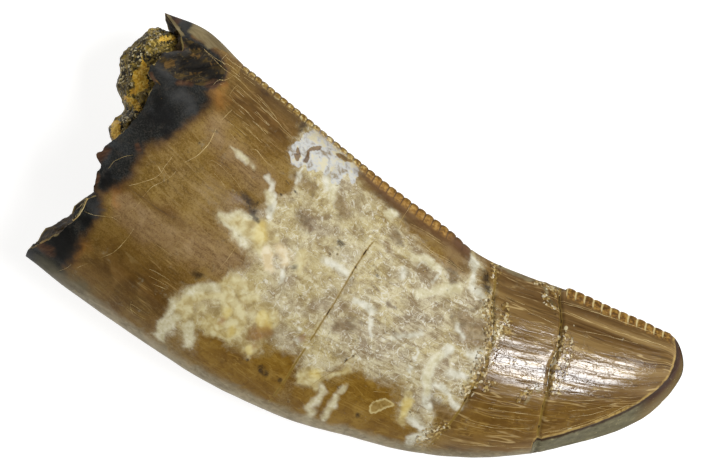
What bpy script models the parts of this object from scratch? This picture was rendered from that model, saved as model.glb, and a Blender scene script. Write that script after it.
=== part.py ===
# Fossil Nanotyrannus tooth crown with rock in its pulp cavity, lying on one side.
#
# The frame: +X runs from the broken base to the tip, +Y points to the serrated rear
# edge, +Z is up, and the origin is on the surface that the tooth rests on, under the
# middle of its length and width.
# Every length in the tables below is in millimetres; MM turns it into metres.

import math

import bmesh
import bpy
from mathutils import Vector, noise
from mathutils.bvhtree import BVHTree

MM = 0.001

# Cross-sections of the crown from the base to the last one before the tip:
# rear edge x, y; front edge x, y; bulge above and below the edges; heights of the
# rear and the front edge. Distances along the crown are counted in these sections.
SECTIONS = [
    (-12.35, 7.26, -14.20, -4.78, 3.52, 3.42, 3.84, 3.20),
    (-10.30, 7.19, -11.90, -5.46, 3.58, 3.48, 3.80, 3.17),
    (-8.10, 6.28, -9.40, -6.08, 3.55, 3.45, 3.70, 3.08),
    (-5.60, 5.42, -6.70, -6.73, 3.40, 3.30, 3.55, 2.93),
    (-3.00, 4.52, -3.90, -7.18, 3.20, 3.10, 3.30, 2.77),
    (-0.50, 3.68, -1.15, -7.32, 3.00, 2.90, 3.11, 2.59),
    (2.00, 2.98, 1.80, -7.08, 2.75, 2.65, 2.92, 2.40),
    (4.30, 2.34, 4.60, -6.70, 2.50, 2.40, 2.76, 2.26),
    (6.40, 2.23, 7.20, -5.95, 2.25, 2.15, 2.58, 2.10),
    (8.50, 2.28, 9.50, -4.85, 1.95, 1.85, 2.40, 1.90),
    (10.60, 2.16, 11.50, -3.53, 1.65, 1.55, 2.25, 1.60),
    (12.40, 2.09, 12.95, -2.30, 1.30, 1.20, 2.10, 1.30),
    (13.58, 1.97, 13.88, -1.08, 0.90, 0.75, 1.80, 1.10),
]
TIP = (14.38, 0.72, 1.10)

# How fast a section swells: a thin cutting edge behind, a round edge in front.
REAR_POWER = 0.72
FRONT_POWER = 0.50

# The crown's surface is a net of rings and columns; this many columns lie on each side.
COLUMNS = 28
RINGS_PER_SECTION = 3

# Worn facet along the front edge near the tip, as (section, width). On the upper side
# the facet starts at one column of the net, so that it has a clean edge.
FACET = [(8.9, 0.0), (9.4, 0.50), (10.0, 0.82), (11.0, 0.98), (12.0, 1.25), (13.0, 1.25)]
FACET_FULL = 0.50
FACET_COLUMN = 22
FACET_LEAST_SHARE = 0.2

# The broken edge of the base, as (y, x), on the upper and on the lower side.
BREAK_ABOVE = [
    (7.26, -12.33), (6.58, -11.24), (6.04, -10.91), (5.60, -11.74), (4.48, -11.85),
    (4.25, -11.56), (2.54, -11.69), (1.18, -12.20), (0.50, -12.74), (0.13, -12.26),
    (-0.99, -12.39), (-1.36, -12.76), (-2.85, -13.35), (-4.40, -14.05), (-4.78, -14.20),
]
BREAK_BELOW = [
    (7.26, -12.33), (6.40, -11.50), (5.00, -10.90), (3.40, -11.40), (2.00, -11.05),
    (0.60, -11.80), (-1.00, -12.30), (-1.90, -12.95), (-3.10, -13.60), (-3.40, -14.05),
    (-4.20, -13.95), (-4.78, -14.20),
]
# The net follows the broken edge up to this section and is regular from there on.
BREAK_BLEND = 1.6
# Jagged offsets of the edge, and the hills and hollows of the broken wall between the
# edge and the cavity's mouth: their height, their size and where across they lie.
EDGE_JAG = 0.18
EDGE_JAG_SIZE = 0.7
WALL_RELIEF = 0.30
WALL_RELIEF_SIZE = 0.6
WALL_MIDDLE = 0.55

# Pulp cavity: where across the section its mouth starts and ends, its half height at
# the mouth, how far the mouth lies inside the broken edge, and how deep it reaches.
CAVITY_REAR = 0.085
CAVITY_FRONT = 0.80
CAVITY_HALF_HEIGHT = 1.85
CAVITY_LEAST_HEIGHT = 0.05
CAVITY_RECESS = 0.15
CAVITY_DEPTH = 3.2
CAVITY_TAPER = 1.5
CAVITY_RINGS = 6

# Rock in the cavity: its clearance to the crown, how far it stands out of the mouth
# as (y, reach), and the shares of the mouth's width at which its face has rings.
ROCK_GAP = 0.30
ROCK_FACE = [(-4.0, -0.10), (0.5, 0.10), (1.5, 0.45), (3.3, 0.85), (4.5, 1.15), (6.2, 0.70)]
ROCK_FACE_RINGS = (0.80, 0.50, 0.20)
ROCK_RELIEF = 0.22
ROCK_RELIEF_SIZE = 0.75
# Knobs of rock outside the mouth: centre x, y, z, then the three radii.
ROCK_KNOBS = [
    (-12.55, 4.50, 3.60, 0.84, 1.45, 1.35),
    (-12.35, 5.70, 3.75, 0.55, 0.52, 0.70),
    (-12.45, 3.30, 3.40, 0.66, 0.70, 0.95),
    (-12.20, 1.75, 3.65, 0.46, 0.46, 0.70),
]
KNOB_SUBDIVISIONS = 3
KNOB_SWELL = 0.22
KNOB_SWELL_SIZE = 0.5

# Rows of serrations on the rear edge: first x, last x, number, height.
SERRATION_ROWS = [
    (-8.30, 3.75, 33, 0.16),
    (8.00, 13.20, 13, 0.17),
]
SERRATION_ROOT = 0.45
SERRATION_HALF_WIDTH = 0.21
# One serration from valley to valley: place along it and share of its height.
SERRATION_STEPS = ((0.0, 0.1), (0.20, 1.0), (0.70, 1.0))

# Low worn ridge beside the front edge, on the lower side: first and last section, the
# column that it follows, and how far that column is raised.
FRONT_RIDGE_START = 5.6
FRONT_RIDGE_END = 9.3
FRONT_RIDGE_COLUMN = 25
FRONT_RIDGE_RAISE = (0.03, -0.07, -0.09)

# Open cracks across the upper side: width, depth, then points (x, y).
CRACKS = [
    (0.12, 0.14, [(0.3, 3.0), (-0.45, 1.2), (-0.9, -1.5), (-1.2, -3.2), (-1.8, -6.0)]),
    (0.16, 0.20, [(5.0, 1.9), (5.4, 0.6), (5.95, -1.2), (5.9, -3.2), (5.3, -5.5)]),
    (0.16, 0.22, [(8.1, 1.9), (8.6, 0.7), (8.9, -1.0), (9.25, -2.8), (9.3, -3.9)]),
]
CRACK_STEPS = 3
CRACK_LIFT = 1.5
CRACK_END = 0.5
PROBE_HEIGHT = 20

ENAMEL_COLOUR = (0.22, 0.13, 0.06, 1.0)
ENAMEL_ROUGHNESS = 0.3
ROCK_COLOUR = (0.09, 0.07, 0.04, 1.0)
ROCK_ROUGHNESS = 0.8
SHARP_ANGLE = math.radians(35)


def through(rows, place):
    """Numbers on a smooth curve through the rows; place counts the rows from 0."""
    last = len(rows) - 1
    row = min(max(math.floor(place), 0), last - 1)
    part = place - row
    result = []
    for column in range(len(rows[0])):
        here = rows[row][column]
        after = rows[row + 1][column]
        before = rows[row - 1][column] if row > 0 else 2 * here - after
        beyond = rows[row + 2][column] if row + 2 <= last else 2 * after - here
        slope_here = (after - before) / 2
        slope_after = (beyond - here) / 2
        cube = 2 * (here - after) + slope_here + slope_after
        square = 3 * (after - here) - 2 * slope_here - slope_after
        result.append(((cube * part + square) * part + slope_here) * part + here)
    return result


def lookup(table, value):
    """Straight-line reading of a table of (value, result)."""
    rows = sorted(table)
    if value <= rows[0][0]:
        return rows[0][1]
    for (low, first), (high, second) in zip(rows, rows[1:]):
        if value <= high:
            return first + (second - first) * (value - low) / (high - low)
    return rows[-1][1]


def edge_rows():
    """Rear and front edge, each run on past the tip into the other to round the tip."""
    rear = [(row[0], row[1], row[6]) for row in SECTIONS]
    front = [(row[2], row[3], row[7]) for row in SECTIONS]
    return rear + [TIP, front[-1]], front + [TIP, rear[-1]]


REAR_EDGE, FRONT_EDGE = edge_rows()
BULGES = [(row[4], row[5]) for row in SECTIONS] + [(0.0, 0.0)]
TIP_SECTION = len(SECTIONS)


def fullness(share):
    """Relative height of a section at a share of the way from the rear edge."""
    peak = REAR_POWER / (REAR_POWER + FRONT_POWER)
    highest = peak ** REAR_POWER * (1 - peak) ** FRONT_POWER
    return share ** REAR_POWER * (1 - share) ** FRONT_POWER / highest


def between_edges(t, share):
    """Point on the straight line from the rear to the front edge."""
    return Vector(through(REAR_EDGE, t)).lerp(Vector(through(FRONT_EDGE, t)), share)


def section_width(t):
    return (between_edges(t, 1) - between_edges(t, 0)).length


def even_share(column):
    """Place of a column across the section, closer together at both edges."""
    return (1 - math.cos(math.pi * column / COLUMNS)) / 2


def upper_share(t, column):
    """As even_share, but near the tip one column is moved to the facet's edge."""
    share = even_share(column)
    facet = lookup(FACET, t)
    if facet <= 0:
        return share
    strength = min(facet / FACET_FULL, 1)
    mark = even_share(FACET_COLUMN)
    facet_share = max(1 - facet / max(section_width(t), facet), FACET_LEAST_SHARE)
    edge = mark + (facet_share - mark) * strength
    if column <= FACET_COLUMN:
        return share / mark * edge
    crowded = edge + (1 - edge) * (share - mark) / (1 - mark)
    spaced = edge + (1 - edge) * (column - FACET_COLUMN) / (COLUMNS - FACET_COLUMN)
    return crowded + (spaced - crowded) * strength


def upper_point(t, column):
    """Point of the upper side, with the worn facet sloping to the front edge."""
    share = upper_share(t, column)
    bulge = through(BULGES, min(t, TIP_SECTION))[0]
    point = between_edges(t, share)
    point.z += bulge * fullness(share)
    facet = lookup(FACET, t)
    if facet > 0 and column > FACET_COLUMN:
        facet_share = upper_share(t, FACET_COLUMN)
        top = between_edges(t, facet_share).z + bulge * fullness(facet_share)
        bottom = between_edges(t, 1).z
        slope = top + (bottom - top) * (share - facet_share) / (1 - facet_share)
        point.z += (slope - point.z) * min(facet / FACET_FULL, 1)
    return point


def lower_point(t, column):
    """Point of the lower side, which is worn flat where it touches the ground."""
    share = even_share(column)
    point = between_edges(t, share)
    point.z -= through(BULGES, min(t, TIP_SECTION))[1] * fullness(share)
    if column == FRONT_RIDGE_COLUMN and FRONT_RIDGE_START < t < FRONT_RIDGE_END:
        point += Vector(FRONT_RIDGE_RAISE)
    point.z = max(point.z, 0.0)
    return point


def crown_point(t, column, above):
    return upper_point(t, column) if above else lower_point(t, column)


def around():
    """The columns of one ring: over the upper side and back along the lower one."""
    for column in range(COLUMNS + 1):
        yield column, True
    for column in range(COLUMNS - 1, 0, -1):
        yield column, False


def uneven(point, height, size):
    """Offset along the crown's length that depends only on the place."""
    return Vector((noise.noise(point / size) * height, 0, 0))


def break_place(share, above):
    """Where along the crown the broken edge lies, at a share of the way across."""
    table = BREAK_ABOVE if above else BREAK_BELOW
    t = 0.0
    for _ in range(4):
        point = between_edges(t, share)
        step = between_edges(t + 1, share).x - point.x
        t += (lookup(table, point.y) - point.x) / step
    return t


def edge_start(column, above):
    """Where a column of the outer surface starts, with the edge's small jags."""
    share = even_share(column)
    t = break_place(share, above)
    jag = uneven(crown_point(t, column, above), EDGE_JAG, EDGE_JAG_SIZE).x
    return t + jag * math.sin(math.pi * share)


def mouth_share(column):
    return CAVITY_REAR + (CAVITY_FRONT - CAVITY_REAR) * even_share(column)


def cavity_point(t, column, above, depth, clearance):
    """Point on the cavity's wall, or that far inside it; depth is 0 at the mouth."""
    share = even_share(column)
    taper = math.sqrt(1 - depth ** CAVITY_TAPER)
    middle = (CAVITY_REAR + CAVITY_FRONT) / 2
    half = (CAVITY_FRONT - CAVITY_REAR) / 2 * taper - clearance / section_width(t)
    height = max(CAVITY_HALF_HEIGHT * taper - clearance, CAVITY_LEAST_HEIGHT)
    point = between_edges(t, middle + half * (2 * share - 1))
    axis = (upper_point(t, COLUMNS // 2).z + lower_point(t, COLUMNS // 2).z) / 2
    rise = height * 2 * math.sqrt(share * (1 - share))
    point.z = axis + (rise if above else -rise)
    return point


def cavity_rings(clearance):
    """Rings from the blind end of the cavity to its mouth."""
    mouths = [break_place(mouth_share(column), above) + CAVITY_RECESS for column, above in around()]
    rings = []
    for step in range(CAVITY_RINGS - 1, -1, -1):
        depth = step / CAVITY_RINGS
        ring = []
        for mouth, (column, above) in zip(mouths, around()):
            t = mouth + (CAVITY_DEPTH - mouth) * depth
            ring.append(cavity_point(t, column, above, depth, clearance))
        rings.append(ring)
    return rings


def loft(name, rings, first_point=None, last_point=None):
    """A closed body through rings of equal length, pointed or flat at either end."""
    bm = bmesh.new()
    rows = [[bm.verts.new(point * MM) for point in ring] for ring in rings]
    for row, next_row in zip(rows, rows[1:]):
        for i in range(len(row)):
            j = (i + 1) % len(row)
            bm.faces.new((row[i], next_row[i], next_row[j], row[j]))
    for row, end in ((rows[0], first_point), (rows[-1], last_point)):
        if end is None:
            bm.faces.new(row)
            continue
        peak = bm.verts.new(end * MM)
        for i in range(len(row)):
            bm.faces.new((row[i], row[(i + 1) % len(row)], peak))
    bmesh.ops.recalc_face_normals(bm, faces=bm.faces)
    bmesh.ops.triangulate(bm, faces=bm.faces)
    return new_object(name, bm)


def new_object(name, bm):
    mesh = bpy.data.meshes.new(name)
    bm.to_mesh(mesh)
    bm.free()
    return bpy.data.objects.new(name, mesh)


def crown_body():
    """The crown from the blind end of its cavity, over the broken wall, to the tip."""
    starts = [edge_start(*place) for place in around()]
    rings = cavity_rings(0.0)
    mouth = rings[-1]
    edge = [crown_point(start, *place) for start, place in zip(starts, around())]
    wall = [inner.lerp(outer, WALL_MIDDLE) for inner, outer in zip(mouth, edge)]
    rings.append([point + uneven(point, WALL_RELIEF, WALL_RELIEF_SIZE) for point in wall])
    rings.append(edge)
    for number in range(1, RINGS_PER_SECTION * TIP_SECTION):
        t = number / RINGS_PER_SECTION
        shift = max(1 - t / BREAK_BLEND, 0)
        rings.append([crown_point(t + start * shift, *place)
                      for start, place in zip(starts, around())])
    blind_end = between_edges(CAVITY_DEPTH, (CAVITY_REAR + CAVITY_FRONT) / 2)
    return loft("tooth_crown", rings, blind_end, Vector(TIP))


def rock_body():
    """Rock that fills the cavity, with an uneven face in the mouth."""
    rings = cavity_rings(ROCK_GAP)
    rim = rings[-1]
    centre = sum(rim, Vector()) / len(rim)
    for share in ROCK_FACE_RINGS:
        ring = []
        for point in rim:
            place = centre.lerp(point, share)
            place.x -= lookup(ROCK_FACE, place.y) * (1 - share ** 4)
            ring.append(place + uneven(place, ROCK_RELIEF, ROCK_RELIEF_SIZE))
        rings.append(ring)
    centre.x -= lookup(ROCK_FACE, centre.y)
    blind_end = between_edges(CAVITY_DEPTH - ROCK_GAP, (CAVITY_REAR + CAVITY_FRONT) / 2)
    return loft("cavity_matrix", rings, blind_end, centre)


def rock_knob(number, x, y, z, *radii):
    """One knob of rock with a lumpy surface."""
    centre = Vector((x, y, z))
    bm = bmesh.new()
    bmesh.ops.create_icosphere(bm, subdivisions=KNOB_SUBDIVISIONS, radius=1.0)
    for vert in bm.verts:
        swell = 1 + KNOB_SWELL * noise.noise(vert.co / KNOB_SWELL_SIZE + centre)
        offset = Vector([part * radius for part, radius in zip(vert.co, radii)])
        vert.co = (centre + offset * swell) * MM
    return new_object(f"rock_knob_{number}", bm)


def section_at(x):
    """The place along the crown at which the rear edge reaches x."""
    low, high = 0.0, float(TIP_SECTION)
    for _ in range(30):
        middle = (low + high) / 2
        if through(REAR_EDGE, middle)[0] < x:
            low = middle
        else:
            high = middle
    return low


def serration_row(number, first, last, count, height):
    """A comb of small blunt teeth that is rooted in the rear edge."""
    pitch = (last - first) / count
    places = [(tooth + along, share) for tooth in range(count) for along, share in SERRATION_STEPS]
    places.append((count, SERRATION_STEPS[0][1]))
    up = Vector((0, 0, SERRATION_HALF_WIDTH))
    rings = []
    for along, share in places:
        t = section_at(first + pitch * along)
        edge = between_edges(t, 0)
        run = between_edges(t + 0.05, 0) - between_edges(t - 0.05, 0)
        out = Vector((-run.y, run.x, 0)).normalized()
        root = edge - out * SERRATION_ROOT
        shoulder = edge + out * height * share * 0.5
        crest = edge + out * height * share
        rings.append([root - up, root + up, shoulder + up * 0.85, crest + up * 0.4,
                      crest - up * 0.4, shoulder - up * 0.85])
    return loft(f"serration_row_{number}", rings)


def crack_wedge(number, width, depth, path, surface):
    """A narrow wedge that follows a crack over the crown and runs out at its ends."""
    count = (len(path) - 1) * CRACK_STEPS
    lift = depth * CRACK_LIFT
    rings = []
    for step in range(count + 1):
        x, y = through(path, step / CRACK_STEPS)
        ahead_x, ahead_y = through(path, step / CRACK_STEPS + 0.1)
        above = Vector((x, y, PROBE_HEIGHT)) * MM
        hit, normal, _, _ = surface.ray_cast(above, Vector((0, 0, -1)))
        place = hit / MM
        side = normal.cross(Vector((ahead_x - x, ahead_y - y, 0))).normalized()
        from_end = min(step, count - step)
        sink = depth if from_end > 1 else depth * (from_end - CRACK_END)
        half = width / 2 * (lift + sink) / depth
        top = place + normal * lift
        rings.append([top - side * half, top + side * half, place - normal * sink])
    return loft(f"crack_{number}", rings)


def surface_of(thing):
    bm = bmesh.new()
    bm.from_mesh(thing.data)
    tree = BVHTree.FromBMesh(bm)
    bm.free()
    return tree


def boolean(target, tool, operation):
    """Adds a helper body to the target or cuts it away, and hides the helper."""
    modifier = target.modifiers.new(tool.name, "BOOLEAN")
    modifier.operation = operation
    modifier.solver = "EXACT"
    modifier.object = tool
    helpers.objects.link(tool)
    tool.hide_render = True
    tool.display_type = "WIRE"


def finish(target, name, colour, roughness):
    """The piece's own material, and smooth shading between its sharp edges."""
    material = bpy.data.materials.new(name)
    material.use_nodes = True
    shader = material.node_tree.nodes["Principled BSDF"]
    shader.inputs["Base Color"].default_value = colour
    shader.inputs["Roughness"].default_value = roughness
    shader.inputs["Metallic"].default_value = 0.0
    target.data.materials.append(material)
    target.data.shade_smooth()
    target.data.set_sharp_from_angle(angle=SHARP_ANGLE)


def new_collection(name):
    collection = bpy.data.collections.new(name)
    bpy.context.scene.collection.children.link(collection)
    return collection


for old in list(bpy.data.objects):
    bpy.data.objects.remove(old, do_unlink=True)
tooth = new_collection("fossil_tooth")
helpers = new_collection("added_and_cut_shapes")

crown = crown_body()
tooth.objects.link(crown)
smooth_crown = surface_of(crown)
for number, row in enumerate(SERRATION_ROWS, 1):
    boolean(crown, serration_row(number, *row), "UNION")
for number, (width, depth, path) in enumerate(CRACKS, 1):
    boolean(crown, crack_wedge(number, width, depth, path, smooth_crown), "DIFFERENCE")
finish(crown, "enamel", ENAMEL_COLOUR, ENAMEL_ROUGHNESS)

rock = rock_body()
tooth.objects.link(rock)
for number, knob in enumerate(ROCK_KNOBS, 1):
    boolean(rock, rock_knob(number, *knob), "UNION")
finish(rock, "rock", ROCK_COLOUR, ROCK_ROUGHNESS)
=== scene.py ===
import math

import bpy
import numpy as np
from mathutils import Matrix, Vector, noise
from mathutils.bvhtree import BVHTree


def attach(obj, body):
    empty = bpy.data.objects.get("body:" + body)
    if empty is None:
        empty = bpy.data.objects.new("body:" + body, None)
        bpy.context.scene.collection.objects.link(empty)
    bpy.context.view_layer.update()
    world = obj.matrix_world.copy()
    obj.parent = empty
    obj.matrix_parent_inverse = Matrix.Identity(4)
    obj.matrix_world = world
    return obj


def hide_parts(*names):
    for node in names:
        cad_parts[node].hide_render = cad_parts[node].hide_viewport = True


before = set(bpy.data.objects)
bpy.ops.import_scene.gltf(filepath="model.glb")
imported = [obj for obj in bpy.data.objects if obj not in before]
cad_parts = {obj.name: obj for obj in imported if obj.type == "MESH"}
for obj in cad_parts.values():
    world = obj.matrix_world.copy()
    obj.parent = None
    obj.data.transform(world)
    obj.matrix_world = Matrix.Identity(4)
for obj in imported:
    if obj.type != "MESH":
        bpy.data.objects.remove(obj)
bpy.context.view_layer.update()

# Lengths are in millimetres until a mesh is made. The tooth lies along X: broken base at
# the left, tip at the right, serrated rear edge towards +Y, upper side towards +Z.
mm = 0.001

# The form of the crown, as in the solid: rear edge x, y; front edge x, y; bulge above
# and below the edges; height of the rear and of the front edge.
sections = [
    (-12.35, 7.26, -14.20, -4.78, 3.52, 3.42, 3.84, 3.20),
    (-10.30, 7.19, -11.90, -5.46, 3.58, 3.48, 3.80, 3.17),
    (-8.10, 6.28, -9.40, -6.08, 3.55, 3.45, 3.70, 3.08),
    (-5.60, 5.42, -6.70, -6.73, 3.40, 3.30, 3.55, 2.93),
    (-3.00, 4.52, -3.90, -7.18, 3.20, 3.10, 3.30, 2.77),
    (-0.50, 3.68, -1.15, -7.32, 3.00, 2.90, 3.11, 2.59),
    (2.00, 2.98, 1.80, -7.08, 2.75, 2.65, 2.92, 2.40),
    (4.30, 2.34, 4.60, -6.70, 2.50, 2.40, 2.76, 2.26),
    (6.40, 2.23, 7.20, -5.95, 2.25, 2.15, 2.58, 2.10),
    (8.50, 2.28, 9.50, -4.85, 1.95, 1.85, 2.40, 1.90),
    (10.60, 2.16, 11.50, -3.53, 1.65, 1.55, 2.25, 1.60),
    (12.40, 2.09, 12.95, -2.30, 1.30, 1.20, 2.10, 1.30),
    (13.58, 1.97, 13.88, -1.08, 0.90, 0.75, 1.80, 1.10),
]
tip = (14.38, 0.72, 1.10)
tipPlace = len(sections)
rearEdge = [(r[0], r[1], r[6]) for r in sections]
frontEdge = [(r[2], r[3], r[7]) for r in sections]
rearEdge, frontEdge = rearEdge + [tip, frontEdge[-1]], frontEdge + [tip, rearEdge[-1]]
bulges = [(r[4], r[5]) for r in sections] + [(0.0, 0.0)]

breakAbove = [
    (7.26, -12.33), (6.58, -11.24), (6.04, -10.91), (5.6, -11.74), (4.48, -11.85), (4.25, -11.56),
    (2.54, -11.69), (1.18, -12.2), (0.55, -12.74), (0.35, -12.7), (0.1, -12.28), (-0.99, -12.38),
    (-1.15, -12.25), (-1.55, -12.5), (-1.9, -12.52), (-2.7, -12.86), (-3.25, -13.16), (-3.7, -13.48),
    (-4.2, -13.92), (-4.4, -14.12), (-4.78, -14.2),
]
breakBelow = [
    (7.26, -12.33), (7, -12.22), (6.7, -12), (6.5, -11.88), (6.3, -11.45), (5, -10.9), (3.4, -11.4),
    (2, -11.05), (0.6, -11.8), (-1, -12.3), (-1.35, -12.75), (-1.92, -12.98), (-2.6, -13.2),
    (-2.95, -13.62), (-3.25, -13.72), (-3.38, -14.04), (-3.8, -14), (-4.2, -14.12), (-4.78, -14.2),
]
# The facet's boundary from above, round to the rear edge.
facetLine = [
    (9.3, -4.3), (9.6, -4.1), (10.25, -3.66), (11, -3.08), (11.67, -2.51), (12.35, -1.86), (13.01, -1.16),
    (13.5, -0.42), (13.79, 0.21), (13.84, 0.8), (13.78, 1.33), (13.64, 1.72), (13.5, 1.95), (13.44, 2.3),
]
facetWidths = [(8.9, 0.0), (9.4, 0.50), (10.0, 0.82), (11.0, 0.98), (12.0, 1.25), (13.0, 1.25)]


def read(table, value):                    # straight-line reading of (value, result) rows
    xs, ys = zip(*sorted(table))
    return np.interp(value, xs, ys)


def through(rows, place):                  # a smooth curve through the rows, at many places
    rows = np.asarray(rows, float)
    place = np.asarray(place, float)
    row = np.clip(np.floor(place).astype(int), 0, len(rows) - 2)
    part = (place - row)[..., None]
    rows = np.vstack([2 * rows[0] - rows[1], rows, 2 * rows[-1] - rows[-2]])
    before, here, after, beyond = (rows[row + k] for k in range(4))
    slopeHere, slopeAfter = (after - before) / 2, (beyond - here) / 2
    cube = 2 * (here - after) + slopeHere + slopeAfter
    square = 3 * (after - here) - 2 * slopeHere - slopeAfter
    return ((cube * part + square) * part + slopeHere) * part + here


def smooth(low, high, value):              # 0 below low, 1 above high, soft in between
    part = np.clip((value - low) / (high - low), 0, 1)
    return part * part * (3 - 2 * part)


def cloud(points, size, seed=0):           # smooth noise from -1 to 1, lumps of that size
    cell = np.asarray(points) / size + seed * 17.31
    base = np.floor(cell).astype(np.int64)
    part = cell - base
    part = part * part * (3 - 2 * part)
    total = np.zeros(len(cell))
    for corner in range(8):
        step = np.array([corner & 1, corner >> 1 & 1, corner >> 2])
        key = (base + step) @ np.array([73856093, 19349663, 83492791])
        key = (key ^ key >> 13) * 1274126177 & 0xffffffff
        height = ((key ^ key >> 16) & 0xffff) / 32767.5 - 1
        total += height * np.prod(np.where(step, part, 1 - part), axis=1)
    return total


def pathGap(points, path):                 # distance of points (x, y) from a line through the path
    best = np.full(len(points), 1e9)
    for start, end in zip(path, path[1:]):
        start, run = np.array(start, float), np.subtract(end, start).astype(float)
        share = np.clip((points - start) @ run / max(run @ run, 1e-9), 0, 1)
        best = np.minimum(best, np.hypot(*(points - start - share[:, None] * run).T))
    return best


def inside(points, outline):               # whether points lie within a closed outline
    hit = np.zeros(len(points), bool)
    for (x1, y1), (x2, y2) in zip(outline, outline[1:] + outline[:1]):
        if y1 != y2:
            crosses = (points[:, 1] < y1) != (points[:, 1] < y2)
            hit ^= crosses & (points[:, 0] < (x2 - x1) * (points[:, 1] - y1) / (y2 - y1) + x1)
    return hit


def pairs(numbers):                        # x, y, x, y, ... as points
    return list(zip(numbers[::2], numbers[1::2]))


def cover(points, marks):
    # How far points lie within marks: 1 well inside, 0.5 on the outline, 0 well
    # outside. A mark is radius, softness, then x, y of each point; radius 0 closes an outline.
    total = np.zeros(len(points))
    for radius, soft, *numbers in marks:
        path = pairs(numbers)
        corners = np.array(path, float)
        near = np.all((points > corners.min(0) - radius - soft) & (points < corners.max(0) + radius + soft),
                      axis=1)
        some = points[near]
        if radius:
            depth = radius - pathGap(some, path if len(path) > 1 else path * 2)
        else:
            depth = pathGap(some, path + path[:1]) * np.where(inside(some, path), 1, -1)
        total[near] = np.maximum(total[near], np.clip(0.5 + depth / soft, 0, 1))
    return total


def makePiece(name, points, faces, attributes, material, node):
    mesh = bpy.data.meshes.new(name)
    mesh.from_pydata((np.asarray(points) * mm).tolist(), [], faces)
    for label, values in attributes.items():
        layer = mesh.attributes.new(label, "FLOAT", "POINT")
        layer.data.foreach_set("value", np.asarray(values, np.float32))
    mesh.shade_smooth()
    mesh.materials.append(material)
    piece = bpy.data.objects.new(name, mesh)
    bpy.context.scene.collection.objects.link(piece)
    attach(piece, "root")
    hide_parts(node)
    print(f"{name}: {len(points)} points, {len(faces)} faces")
    return piece


# Shader wiring

paintShare = 0.80                          # share of a colour seen that the surface itself returns
sheen = 0.003                              # what the reflections add to it


def paint(red, green, blue):               # the colour that looks like this under the lights
    def linear(part):
        part /= 255
        return part / 12.92 if part < 0.04045 else ((part + 0.055) / 1.055) ** 2.4
    return tuple(max(linear(part) * paintShare - sheen, 0.002) for part in (red, green, blue)) + (1.0,)


class Wire:                                # a socket that adds its Math nodes by itself
    def __init__(self, sheet, socket):
        self.sheet, self.socket = sheet, socket

    def maths(self, operation, *values):
        return self.sheet.node("Math", {"operation": operation}, dict(enumerate(values)))

    def __add__(self, other):
        return self.maths("ADD", self, other)

    def __radd__(self, other):
        return self.maths("ADD", other, self)

    def __sub__(self, other):
        return self.maths("SUBTRACT", self, other)

    def __rsub__(self, other):
        return self.maths("SUBTRACT", other, self)

    def __mul__(self, other):
        return self.maths("MULTIPLY", self, other)

    def __rmul__(self, other):
        return self.maths("MULTIPLY", other, self)

    def larger(self, other):
        return self.maths("MAXIMUM", self, other)

    def __abs__(self):
        return self.maths("ABSOLUTE", self)

    def step(self, low, high, least=0.0, most=1.0):        # soft step from least to most
        return self.sheet.node("MapRange", {"interpolation_type": "SMOOTHSTEP"},
                               {0: self, 1: low, 2: high, 3: least, 4: most})

    def coat(self, share, colour):         # this colour with a share of another laid over it
        return self.sheet.mix(share, self, colour)


class Sheet:                               # the nodes of one material or world
    def __init__(self, owner):
        owner.use_nodes = True
        self.owner, self.tree = owner, owner.node_tree
        self.tree.nodes.clear()

    def node(self, kind, settings=None, sockets=None, out=0):
        made = self.tree.nodes.new("ShaderNode" + kind)
        for key, value in (settings or {}).items():
            if key == "stops":
                ramp = made.color_ramp
                while len(ramp.elements) < len(value):
                    ramp.elements.new(0.5)
                for element, (place, colour) in zip(ramp.elements, value):
                    element.position, element.color = place, colour
            else:
                setattr(made, key, value)
        for key, value in (sockets or {}).items():
            if isinstance(value, Wire):
                self.tree.links.new(value.socket, made.inputs[key])
            else:
                made.inputs[key].default_value = value
        return Wire(self, made.outputs[out]) if made.outputs else made

    def value(self, label):                # a number stored on the mesh's points
        return self.node("Attribute", {"attribute_name": label}, out=2)

    def place(self):                       # position in millimetres
        spot = self.node("TexCoord", out=3)
        return self.node("VectorMath", {"operation": "SCALE"}, {0: spot, 3: 1 / mm})

    def vector(self, x, y, z=0.0):
        return self.node("CombineXYZ", {}, {0: x, 1: y, 2: z})

    def noise(self, place, size, detail=3.0, rough=0.5, warp=0.0):
        return self.node("TexNoise", {}, {"Vector": place, "Scale": 1 / size, "Detail": detail,
                                          "Roughness": rough, "Distortion": warp})

    def mix(self, share, *colours):        # a colour is a wire, or red, green, blue as for paint
        first, second = (c if isinstance(c, Wire) else paint(*c) for c in colours)
        return self.node("Mix", {"data_type": "RGBA"}, {0: share, 6: first, 7: second}, out=2)

    def stretch(self, place, x, y, z):
        return self.node("VectorMath", {"operation": "MULTIPLY"}, {0: place, 1: (x, y, z)})

    def ramp(self, value, *stops):         # a stop is its place, then red, green, blue
        stops = [(place, paint(*colour)) for place, *colour in stops]
        return self.node("ValToRGB", {"stops": stops}, {0: value})

    def bump(self, height):                # heights in millimetres
        return self.node("Bump", {}, {"Strength": 1.0, "Distance": mm, "Height": height})

    def finish(self, settings, dull=None, **changing):     # dull: where the gloss is gone
        sockets = dict(settings)
        sockets.update({key.replace("_", " "): value for key, value in changing.items()})
        shader = self.node("BsdfPrincipled", {}, sockets)
        if dull:
            matt = self.node("BsdfPrincipled", {}, {**sockets, "Specular IOR Level": 0.06, "Roughness": 0.6})
            shader = self.node("MixShader", {}, {0: dull, 1: shader, 2: matt})
        self.node("OutputMaterial", {}, {0: shader})
        return self.owner


# Crown

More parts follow.
